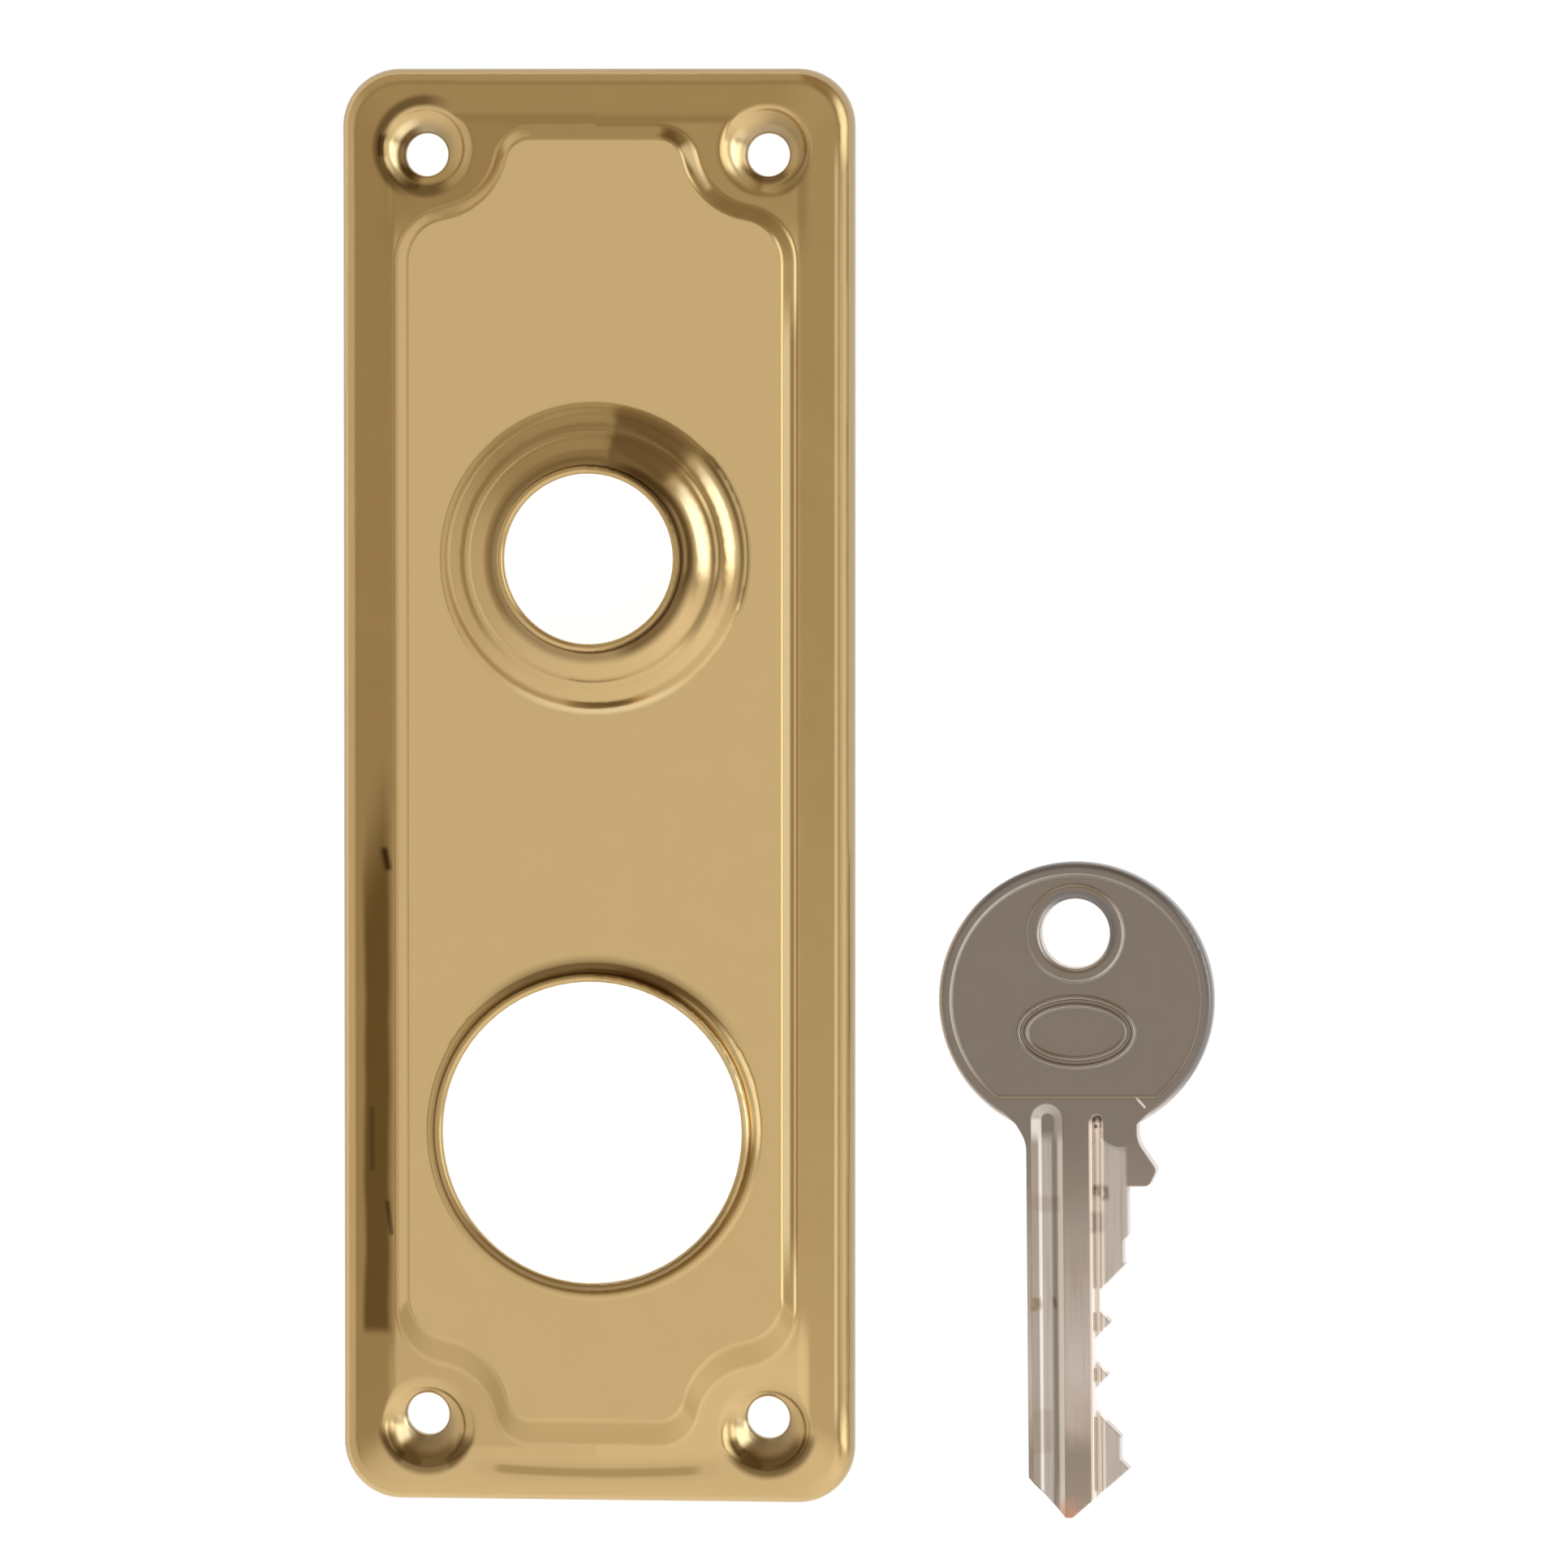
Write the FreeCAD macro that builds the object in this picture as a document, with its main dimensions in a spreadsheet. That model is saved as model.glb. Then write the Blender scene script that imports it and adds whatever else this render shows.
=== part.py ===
# Pressed brass escutcheon plate of a rim door lock, with its cylinder key.
#
# The plate lies face up, as it would on a bench. Its back rests on z = 0, where the door would be,
# +Z points out of the door and +Y runs up the plate. The origin is the centre of the plate's back,
# which is also the centre of its four screw holes. The key lies flat beside the plate.
# All lengths are in millimetres and all angles in degrees.
import FreeCAD, Part
import math
import os
import Sketcher

SIZES = [
    ("plate_length", 125.0, "plate outline, up and down the door"),
    ("plate_width", 45.0, "plate outline, across the door"),
    ("plate_corner", 5.0, "radius of the outline's four corners"),
    ("sheet", 0.7, "thickness of the pressed sheet"),
    ("edge_roll", 1.55, "radius of the turned-down outer edge"),
    ("frame_height", 2.4, "frame round the panel, above the door"),
    ("frame_fall", 0.65, "how far the frame falls from its inner line to the outer edge"),
    ("frame_band", 4.7, "width of the falling band, in from the outline"),
    ("frame_corner", 2.6, "radius of the frame's inner line at each corner"),
    ("panel_height", 3.5, "raised panel, above the door"),
    ("ledge_side", 1.4, "falling band's inner line to the raised panel's edge, at each side"),
    ("ledge_end", 1.4, "the same, at each end"),
    ("panel_draft", 1.15, "how far the panel's wall leans out on its way down"),
    ("panel_shoulder", 0.35, "radius along the panel's upper edge"),
    ("panel_foot", 0.3, "radius where the panel's wall meets the frame"),
    ("lower_lean", 1.45, "how much further the wall leans out at the panel's lower end"),
    ("lower_reach", 0.1, "how much nearer the plate's end the panel's foot lies there"),
    ("end_corner", 2.2, "radius of the panel's corner at each end"),
    ("side_corner", 3.75, "radius of the panel's corner on each side"),
    ("notch", 6.8, "radius of the scooped notch round each screw, at the panel's edge"),
    ("notch_shift_x", -0.6, "notch centre from its screw, across"),
    ("notch_shift_y", 1.1, "notch centre from its screw, along"),
    ("screw_inset_side", 7.5, "screw centre, in from the plate's side"),
    ("screw_inset_end", 7.5, "screw centre, in from the plate's end"),
    ("screw_hole", 3.7, "screw hole, diameter"),
    ("hole_roll", 0.35, "rounding of a screw hole's upper edge"),
    ("seat_width", 8.6, "dish round each screw hole, diameter at its lip"),
    ("seat_shift", 0.6, "middle of an upper dish from its hole, towards the plate's end"),
    ("low_seat_shift", 1.0, "the same for a lower dish"),
    ("seat_wall", 42.0, "slope of the dish's wall"),
    ("seat_lip", 1.2, "radius where the wall rolls into the frame"),
    ("seat_floor_width", 6.2, "foot of the wall, diameter"),
    ("seat_floor", 20.0, "slope of the dish's floor"),
    ("seat_bend", 0.5, "radius between wall and floor"),
    ("upper_hole_y", 20.0, "centre of the knob hole above the plate's centre"),
    ("upper_hole", 14.8, "knob hole, diameter"),
    ("collar_height", 3.9, "collar of the knob hole, above the panel"),
    ("collar_neck", 1.05, "upright lip at the top of the collar"),
    ("collar_base", 26.8, "foot of the collar, diameter"),
    ("collar_slope", 45.0, "slope of the walls of the collar's two bulges"),
    ("low_wall", 1.3, "wall of the lower bulge, high"),
    ("low_top", 1.1, "top of the lower bulge, wide"),
    ("low_rise", 0.15, "rise over that top"),
    ("high_wall", 0.9, "wall of the upper bulge, high"),
    ("collar_foot", 0.8, "radius where the collar leaves the panel"),
    ("low_round", 1.8, "radius over the lower bulge"),
    ("collar_crease", 0.5, "radius between the bulges"),
    ("high_round", 2.6, "radius over the upper bulge"),
    ("neck_root_round", 0.5, "radius where the upright lip leaves the upper bulge"),
    ("lower_hole_y", -30.0, "centre of the cylinder hole above the plate's centre"),
    ("lower_hole", 26.3, "cylinder hole, diameter"),
    ("rim_height", 1.9, "rim of the cylinder hole, above the panel"),
    ("rim_flare", 1.2, "radius where that rim rises from the panel"),
    ("rim_edge", 0.3, "rounding of both holes' upper lips"),
    ("key_gap", 7.5, "between the plate and the key's bow"),
    ("key_drop", 18.3, "centre of the key's bow below the plate's centre"),
    ("key_turn", 0.5, "how far the key lies turned"),
    ("key_thickness", 2.3, "key, over everything"),
    ("bow_diameter", 24.0, "round bow of the key"),
    ("bow_border", 1.2, "width of the raised border round the bow"),
    ("bow_relief", 0.25, "depth of the bow's field under its border"),
    ("bow_round", 0.5, "rounding of the bow's outer edges"),
    ("relief_slope", 0.2, "slope round the bow's field and round the raised ring, across"),
    ("oval_slope", 0.12, "slope of the oval's raised lines, across"),
    ("ring_hole", 6.0, "hole for a key ring, diameter"),
    ("ring_hole_round", 0.5, "rounding of that hole's two edges"),
    ("ring_boss", 8.6, "raised ring round that hole, diameter"),
    ("ring_gap", 0.7, "between the raised ring and the border"),
    ("oval_drop", 1.1, "between the raised ring and the oval below it"),
    ("oval_width", 10.4, "raised oval on the bow, across"),
    ("oval_height", 6.4, "raised oval on the bow, along"),
    ("oval_line", 0.35, "width of each of the oval's two raised lines"),
    ("oval_gap", 0.35, "between those lines"),
    ("field_tail", 2.35, "from the oval down to the straight end of the bow's field"),
    ("neck_width", 15.2, "neck where it leaves the bow"),
    ("neck_root", 3.4, "the neck's start, above the bow's lowest point"),
    ("neck_waist", 1.2, "narrow end of the neck's slope, above the same point"),
    ("neck_narrow", 10.6, "width there"),
    ("blade_width", 8.8, "key blade"),
    ("blade_start", 0.3, "blade's upper end, below the bow's lowest point"),
    ("neck_blend", 3.0, "hollow where the neck runs into the plain edge of the blade"),
    ("blade_length", 28.9, "from the stop's face to the tip"),
    ("stop_reach", 7.0, "stop shoulder, from the blade's middle"),
    ("stop_foot", 6.3, "outer end of the stop's face, from the blade's middle"),
    ("stop_top", 1.4, "outer corner of the stop, above its face"),
    ("stop_face", 4.2, "face of the stop, below the bow's lowest point"),
    ("stop_blend", 2.5, "hollow above the stop"),
    ("stop_nose", 0.6, "rounding of the stop's corners"),
    ("tip_slope_left", 3.5, "height of the tip's slope on the plain side"),
    ("tip_slope_right", 4.3, "height of the tip's slope on the cut side"),
    ("tip_shift", 0.9, "tip's middle, from the blade's middle"),
    ("tip_flat", 0.6, "width of the blunt tip"),
    ("tip_round", 0.3, "rounding of the tip's corners"),
    ("first_cut", 5.7, "middle of the first cut, past the stop's face"),
    ("cut_pitch", 4.3, "between two cuts"),
    ("cut_flat", 1.9, "flat bottom of a cut"),
    ("cut_depth_1", 0.45, "depth of the first cut"),
    ("cut_depth_2", 2.5, "depth of the second cut"),
    ("cut_depth_3", 3.05, "depth of the third cut"),
    ("cut_depth_4", 3.0, "depth of the fourth cut"),
    ("cut_depth_5", 0.85, "depth of the fifth cut"),
    ("groove_start", 1.6, "middle of the grooves' rounded ends, above the bow's lowest point"),
    ("groove_x", -2.6, "long groove's middle, from the blade's middle"),
    ("groove_width", 2.8, "long groove, across at the key's face"),
    ("groove_floor", 1.0, "long groove, across its floor"),
    ("groove_depth", 0.6, "long groove, deep"),
    ("ward_x", 1.3, "start of the narrow groove, from the blade's middle"),
    ("ward_width", 0.95, "narrow groove, across at the key's face"),
    ("ward_floor", 0.35, "narrow groove, across its floor"),
    ("ward_depth", 0.65, "narrow groove, deep"),
    ("ward_step", 0.4, "depth of the milled step beside it"),
    ("ward_run_out", 2.4, "how far that step's curved end runs along the blade"),
    ("back_groove_width", 2.3, "groove on the key's other face, across"),
    ("back_groove_floor", 1.3, "across that groove's floor"),
    ("back_groove_depth", 0.7, "groove on the key's other face, deep"),
]

doc = FreeCAD.newDocument("plate_and_key")
sheet = doc.addObject("Spreadsheet::Sheet", "Sizes")
for row, (alias, value, meaning) in enumerate(SIZES, start=1):
    sheet.set(f"A{row}", alias)
    sheet.set(f"B{row}", str(value))
    sheet.set(f"C{row}", meaning)
    sheet.setAlias(f"B{row}", alias)
doc.recompute()

PANEL_HALF_WIDTH = "(Sizes.plate_width / 2 - Sizes.frame_band - Sizes.ledge_side)"
PANEL_HALF_LENGTH = "(Sizes.plate_length / 2 - Sizes.frame_band - Sizes.ledge_end)"
SCREW_X = "(Sizes.plate_width / 2 - Sizes.screw_inset_side)"
SCREW_Y = "(Sizes.plate_length / 2 - Sizes.screw_inset_end)"

# How far a cutting outline runs past what it cuts, and how far a turned rim's foot runs into the panel.
OVERRUN = 1.0
FOOTING = 0.2
TINY = 0.02
# Share of the plate's upright edge that its roll may take up, and the least flat beside a flare or lip.
ROLL_SHARE = 0.9
ROOM = 0.15
# The lip of each screw's dish stays off the foot of the panel's wall in the notch round it.
SEAT_SHIFT = "(Sizes.notch_shift_y - Sizes.seat_shift)"
SEAT_OFFSET = f"sqrt(Sizes.notch_shift_x * Sizes.notch_shift_x + {SEAT_SHIFT} * {SEAT_SHIFT})"
SEAT_LIMIT = f"Sizes.notch - Sizes.panel_draft - Sizes.panel_foot - {SEAT_OFFSET} - {ROOM}"
SEAT_RADIUS = f"min(Sizes.seat_width / 2; {SEAT_LIMIT})"


def size(alias):
    """One driving size, as a plain number."""
    return float(sheet.get(alias))


def new_body(name):
    body = doc.addObject("PartDesign::Body", name)
    body.Label = name
    return body


def origin_plane(body, role):
    return next(f for f in body.Origin.OriginFeatures if f.Role == role)


def new_sketch(body, name, role="XY_Plane", x=None, y=None, lift=None):
    """A sketch on one of the body's own planes, moved by expressions in the plane's own directions."""
    sketch = body.newObject("Sketcher::SketchObject", name)
    sketch.AttachmentSupport = [(origin_plane(body, role), "")]
    sketch.MapMode = "FlatFace"
    for axis, expression in (("x", x), ("y", y), ("z", lift)):
        if expression:
            sketch.setExpression(f"AttachmentOffset.Base.{axis}", expression)
    return sketch


def point_at(sketch, index, end, x, y):
    """Holds one end of an edge at x and y, given as numbers or as expressions of the sheet."""
    for kind, place in (("DistanceX", x), ("DistanceY", y)):
        is_text = isinstance(place, str)
        value = evaluate(place) if is_text else place
        number = sketch.addConstraint(Sketcher.Constraint(kind, -1, 1, index, end, value))
        if is_text:
            sketch.setExpression(f"Constraints[{number}]", place)


def evaluate(expression):
    """The value of an expression of the sheet, through the document's own evaluator."""
    return float(sheet.evalExpression(expression.replace("Sizes.", "")))


def place_of(corner):
    """A place in a sketch, from two expressions or numbers."""
    return FreeCAD.Vector(*[evaluate(c) if isinstance(c, str) else c for c in corner], 0)


def polygon(sketch, corners):
    """A closed outline of straight edges whose corners are expressions (or numbers)."""
    places = [place_of(corner) for corner in corners]
    count = len(places)
    for i in range(count):
        sketch.addGeometry(Part.LineSegment(places[i], places[(i + 1) % count]), False)
    for i in range(count):
        sketch.addConstraint(Sketcher.Constraint("Coincident", i, 2, (i + 1) % count, 1))
    for i, (x, y) in enumerate(corners):
        point_at(sketch, i, 1, x, y)


def circle(sketch, diameter, x=0.0, y=0.0):
    """A full circle whose diameter and centre are expressions (or numbers)."""
    centre = place_of((x, y))
    index = sketch.addGeometry(Part.Circle(centre, FreeCAD.Vector(0, 0, 1), evaluate(diameter) / 2), False)
    number = sketch.addConstraint(Sketcher.Constraint("Diameter", index, evaluate(diameter)))
    sketch.setExpression(f"Constraints[{number}]", diameter)
    point_at(sketch, index, 3, x, y)


def pad(body, sketch, name, length):
    feature = body.newObject("PartDesign::Pad", name)
    feature.Profile = sketch
    feature.setExpression("Length", length)
    doc.recompute()
    return feature


def pocket(body, sketch, name, depth=None, reverse=False):
    """Cuts to a depth, or right through both ways when no depth is given."""
    before = body.Shape.Volume
    feature = body.newObject("PartDesign::Pocket", name)
    feature.Profile = sketch
    if depth:
        feature.setExpression("Length", depth)
        feature.Reversed = reverse
    else:
        feature.Type = "ThroughAll"
        feature.Midplane = True
    doc.recompute()
    report_cut(name, before, body.Shape.Volume)
    return feature


def report_cut(name, before, after):
    if not after < before - 1e-6:
        raise RuntimeError(f"{name} removed nothing")


def loft(body, low, high, name):
    feature = body.newObject("PartDesign::AdditiveLoft", name)
    feature.Profile = low
    feature.Sections = [high]
    feature.Ruled = True
    doc.recompute()
    return feature


def turn(body, sketch, name, kind="PartDesign::Revolution"):
    """Turns a sketch right round its own upright axis, to add metal or to cut it away."""
    before = body.Shape.Volume
    feature = body.newObject(kind, name)
    feature.Profile = sketch
    feature.ReferenceAxis = (sketch, ["V_Axis"])
    feature.Angle = 360.0
    doc.recompute()
    if kind == "PartDesign::Groove":
        report_cut(name, before, body.Shape.Volume)
    return feature


def dress_edges(body, name, kind, width, wanted):
    """Rounds or slopes the edges of the body's newest feature that a test picks out."""
    base = body.Tip
    names = [f"Edge{i}" for i, edge in enumerate(base.Shape.Edges, start=1) if wanted(edge)]
    if not names:
        raise RuntimeError(f"{name} found no edge")
    feature = body.newObject(f"PartDesign::{kind}", name)
    feature.Base = (base, names)
    feature.setExpression("Radius" if kind == "Fillet" else "Size", width)
    doc.recompute()
    return feature


def round_edges(body, name, radius, wanted):
    return dress_edges(body, name, "Fillet", radius, wanted)


def slope_edges(body, name, width, wanted):
    return dress_edges(body, name, "Chamfer", width, wanted)


def at_height(edge, height):
    """True for an edge that lies level at one height."""
    ends = [vertex.Z for vertex in edge.Vertexes] + [edge.CenterOfMass.z]
    return all(abs(z - height) < TINY for z in ends)


def ring_edge(radius, height, y, x=0.0):
    """A test for the level ring edge of one radius round one place."""

    def test(edge):
        if not isinstance(edge.Curve, Part.Circle) or not at_height(edge, height):
            return False
        centre = edge.Curve.Center
        return math.hypot(centre.x - x, centre.y - y) < TINY and abs(edge.Curve.Radius - radius) < TINY

    return test


# The plate is one sheet of even thickness. It is made as the solid under its front skin, less the
# solid under its back skin. Both skins come from the same functions, which read how far `under` the
# front they lie: 0 for the front, and the sheet's thickness for the back.


def rounded_rectangle(sketch, width, length, corner):
    """Four quarter arcs and four lines, held by width, length and corner radius."""
    half_w = evaluate(width) / 2
    half_l = evaluate(length) / 2
    r = evaluate(corner)
    quarters = ((1, 1, 0), (-1, 1, 90), (-1, -1, 180), (1, -1, 270))
    for sx, sy, start in quarters:
        centre = FreeCAD.Vector(sx * (half_w - r), sy * (half_l - r), 0)
        ring = Part.Circle(centre, FreeCAD.Vector(0, 0, 1), r)
        sketch.addGeometry(Part.ArcOfCircle(ring, math.radians(start), math.radians(start + 90)), False)
    for i in range(4):
        following = sketch.Geometry[(i + 1) % 4]
        sketch.addGeometry(Part.LineSegment(sketch.Geometry[i].EndPoint, following.StartPoint), False)
    for i in range(4):
        sketch.addConstraint(Sketcher.Constraint("Tangent", i, 2, 4 + i, 1))
        sketch.addConstraint(Sketcher.Constraint("Tangent", 4 + i, 2, (i + 1) % 4, 1))
    for i, (sx, sy, start) in enumerate(quarters):
        x = f"({width}) / 2 - ({corner})"
        y = f"({length}) / 2 - ({corner})"
        point_at(sketch, i, 3, x if sx > 0 else f"-({x})", y if sy > 0 else f"-({y})")
        number = sketch.addConstraint(Sketcher.Constraint("Radius", i, r))
        sketch.setExpression(f"Constraints[{number}]", corner)


def polar(centre, radius, angle):
    return FreeCAD.Vector(centre[0] + radius * math.cos(angle), centre[1] + radius * math.sin(angle), 0)


def notched_outline(sketch, grow, raise_low):
    """The panel's outline: an oblong whose corners are scooped out round the screws.

    Each corner is an end corner, a hollow notch round the screw and a side corner, all tangent.
    `grow`, an expression, offsets the outline outwards and keeps every arc's centre in place.
    `raise_low`, another one, moves the lower corners and the lower end up the plate.
    """
    offset = evaluate(grow)
    low_shift = evaluate(raise_low)
    end_r = size("end_corner")
    side_r = size("side_corner")
    notch_r = size("notch")
    notch = (evaluate(SCREW_X) + size("notch_shift_x"), evaluate(SCREW_Y) + size("notch_shift_y"))
    end_y = evaluate(PANEL_HALF_LENGTH) - end_r
    side_x = evaluate(PANEL_HALF_WIDTH) - side_r
    end = (notch[0] - math.sqrt((notch_r + end_r) ** 2 - (notch[1] - end_y) ** 2), end_y)
    side = (side_x, notch[1] - math.sqrt((notch_r + side_r) ** 2 - (notch[0] - side_x) ** 2))
    end_turn = math.atan2(notch[1] - end[1], notch[0] - end[0])
    side_turn = math.atan2(notch[1] - side[1], notch[0] - side[0])
    # One corner's arcs, from the end edge round to the side edge.
    quarter = (
        (end, end_r + offset, math.pi / 2, end_turn, "Sizes.end_corner + ({})"),
        (notch, notch_r - offset, end_turn + math.pi, side_turn + math.pi, "Sizes.notch - ({})"),
        (side, side_r + offset, side_turn, 0.0, "Sizes.side_corner + ({})"),
    )
    outline = []
    for sx, sy, from_end in ((1, 1, True), (1, -1, False), (-1, -1, True), (-1, 1, False)):
        arcs = []
        lift = low_shift if sy < 0 else 0.0
        for centre, radius, first, last, rule in quarter:
            stations = [polar(centre, radius, a) for a in (first, (first + last) / 2, last)]
            turned = [FreeCAD.Vector(p.x * sx, p.y * sy + lift, 0) for p in stations]
            arcs.append((turned, rule.format(grow)))
        if not from_end:
            arcs = [(stations[::-1], rule) for stations, rule in reversed(arcs)]
        outline.extend(arcs)
    edges = []
    for i, (stations, rule) in enumerate(outline):
        following = outline[(i + 1) % len(outline)][0][0]
        edges.append((Part.Arc(*stations), stations[0], rule))
        if (stations[2] - following).Length > TINY:
            edges.append((Part.LineSegment(stations[2], following), stations[2], None))
    links = []
    for curve, start, rule in edges:
        index = sketch.addGeometry(curve, False)
        # A sketch keeps each arc anticlockwise, so its first end may be the far one here.
        first = 1 if (sketch.getPoint(index, 1) - start).Length < TINY else 2
        links.append((index, first, rule))
    for (index, first, rule), (after, its_first, _) in zip(links, links[1:] + links[:1]):
        sketch.addConstraint(Sketcher.Constraint("Coincident", index, 3 - first, after, its_first))
        if rule:
            number = sketch.addConstraint(Sketcher.Constraint("Radius", index, evaluate(rule)))
            sketch.setExpression(f"Constraints[{number}]", rule)


def offset_run(points, distance):
    """An open run of straight edges, moved sideways by one distance, with its corners kept sharp."""
    lines = []
    for (x1, y1), (x2, y2) in zip(points, points[1:]):
        length = math.hypot(x2 - x1, y2 - y1)
        normal = ((y2 - y1) / length, -(x2 - x1) / length)
        lines.append((x1 + normal[0] * distance, y1 + normal[1] * distance, x2 - x1, y2 - y1))
    moved = [(lines[0][0], lines[0][1])]
    for (ax, ay, adx, ady), (bx, by, bdx, bdy) in zip(lines, lines[1:]):
        along = ((bx - ax) * bdy - (by - ay) * bdx) / (adx * bdy - ady * bdx)
        moved.append((ax + adx * along, ay + ady * along))
    last = lines[-1]
    moved.append((last[0] + last[2], last[1] + last[3]))
    return moved


def collar_front():
    """Front of the knob hole's collar, from the panel inwards and up, as radius and height."""
    panel = size("panel_height")
    neck = size("upper_hole") / 2 + size("sheet")
    top = panel + size("collar_height")
    base = size("collar_base") / 2
    reach = math.tan(math.radians(size("collar_slope")))
    low_edge = base - size("low_wall") / reach
    crease = low_edge - size("low_top")
    crease_height = panel + size("low_wall") + size("low_rise")
    return [
        (base + FOOTING, panel),
        (base, panel),
        (low_edge, panel + size("low_wall")),
        (crease, crease_height),
        (crease - size("high_wall") / reach, crease_height + size("high_wall")),
        (neck, top - size("collar_neck")),
        (neck, top),
    ]


# The radius of each of the collar's bends, from its foot up, and whether it is hollow on the front.
COLLAR_BENDS = (
    ("Sizes.collar_foot", True),
    ("Sizes.low_round", False),
    ("Sizes.collar_crease", True),
    ("Sizes.high_round", False),
    ("Sizes.neck_root_round", True),
)


def rim_front():
    """Front of the cylinder hole's rim, from the panel inwards and up, as radius and height."""
    panel = size("panel_height")
    neck = size("lower_hole") / 2 + size("sheet")
    return [(neck + FOOTING, panel), (neck, panel), (neck, panel + size("rim_height"))]


def raise_rim(body, name, front, under, y, bends):
    """Adds a turned rim round a hole and rounds its bends.

    It is solid to the axis on both skins, and the back one runs out through its top, which opens the
    hole. On the back skin a bend that is hollow on the front is larger by the sheet's thickness, and
    any other is smaller by it.
    """
    distance = evaluate(under)
    run = offset_run(front, -distance)
    inside_the_frame = size("frame_height") / 2
    top = front[-1][1] + (OVERRUN if distance else 0)
    run[-1] = (run[-1][0], top)
    corners = [(0.0, inside_the_frame), (run[1][0], inside_the_frame)] + run[1:] + [(0.0, top)]
    sketch = new_sketch(body, f"{name}_profile", "XZ_Plane", lift=f"-{y}")
    polygon(sketch, corners)
    turn(body, sketch, name)
    for number, ((radius, height), (bend, hollow)) in enumerate(zip(run[1:-1], bends), start=1):
        rounding = f"{bend} {'+' if hollow else '-'} {under}"
        if evaluate(rounding) > TINY:
            round_edges(body, f"{name}_bend_{number}", rounding, ring_edge(radius, height, evaluate(y)))


def seat_profile(sketch, under):
    """What is cut away over one screw's dish: a wall that rolls over into the frame, and a sloped floor.

    Returns the radius and the height at which wall and floor meet.
    """
    distance = evaluate(under)
    lean = math.radians(size("seat_wall"))
    floor = math.radians(size("seat_floor"))
    frame = size("frame_height")
    lip = size("seat_lip")
    centre = (evaluate(SEAT_RADIUS), frame - lip)
    radius = lip - distance
    tangent = polar(centre, radius, math.pi / 2 + lean)
    middle = polar(centre, radius, math.pi / 2 + lean / 2)
    crest = polar(centre, radius, math.pi / 2)
    # On the front the wall's foot has its own size, and both lines move down square to themselves.
    front_tangent = polar(centre, lip, math.pi / 2 + lean)
    foot = size("seat_floor_width") / 2
    foot_height = front_tangent.y - (front_tangent.x - foot) * math.tan(lean)
    turned = (lean + floor) / 2
    slide = distance / math.cos((lean - floor) / 2)
    foot += slide * math.sin(turned)
    foot_height -= slide * math.cos(turned)
    middle_height = foot_height - foot * math.tan(floor)
    top = size("panel_height") + OVERRUN
    places = ((foot, foot_height), (0, middle_height), (0, top), (crest.x, top))
    corners = [tangent] + [FreeCAD.Vector(x, y, 0) for x, y in places] + [crest]
    sketch.addGeometry(Part.Arc(crest, middle, tangent), False)
    for a, b in zip(corners, corners[1:]):
        sketch.addGeometry(Part.LineSegment(a, b), False)
    for i in range(len(corners)):
        sketch.addConstraint(Sketcher.Constraint("Coincident", i, 2, (i + 1) % len(corners), 1))
    number = sketch.addConstraint(Sketcher.Constraint("Radius", 0, radius))
    sketch.setExpression(f"Constraints[{number}]", f"Sizes.seat_lip - {under}")
    return foot, foot_height


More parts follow.
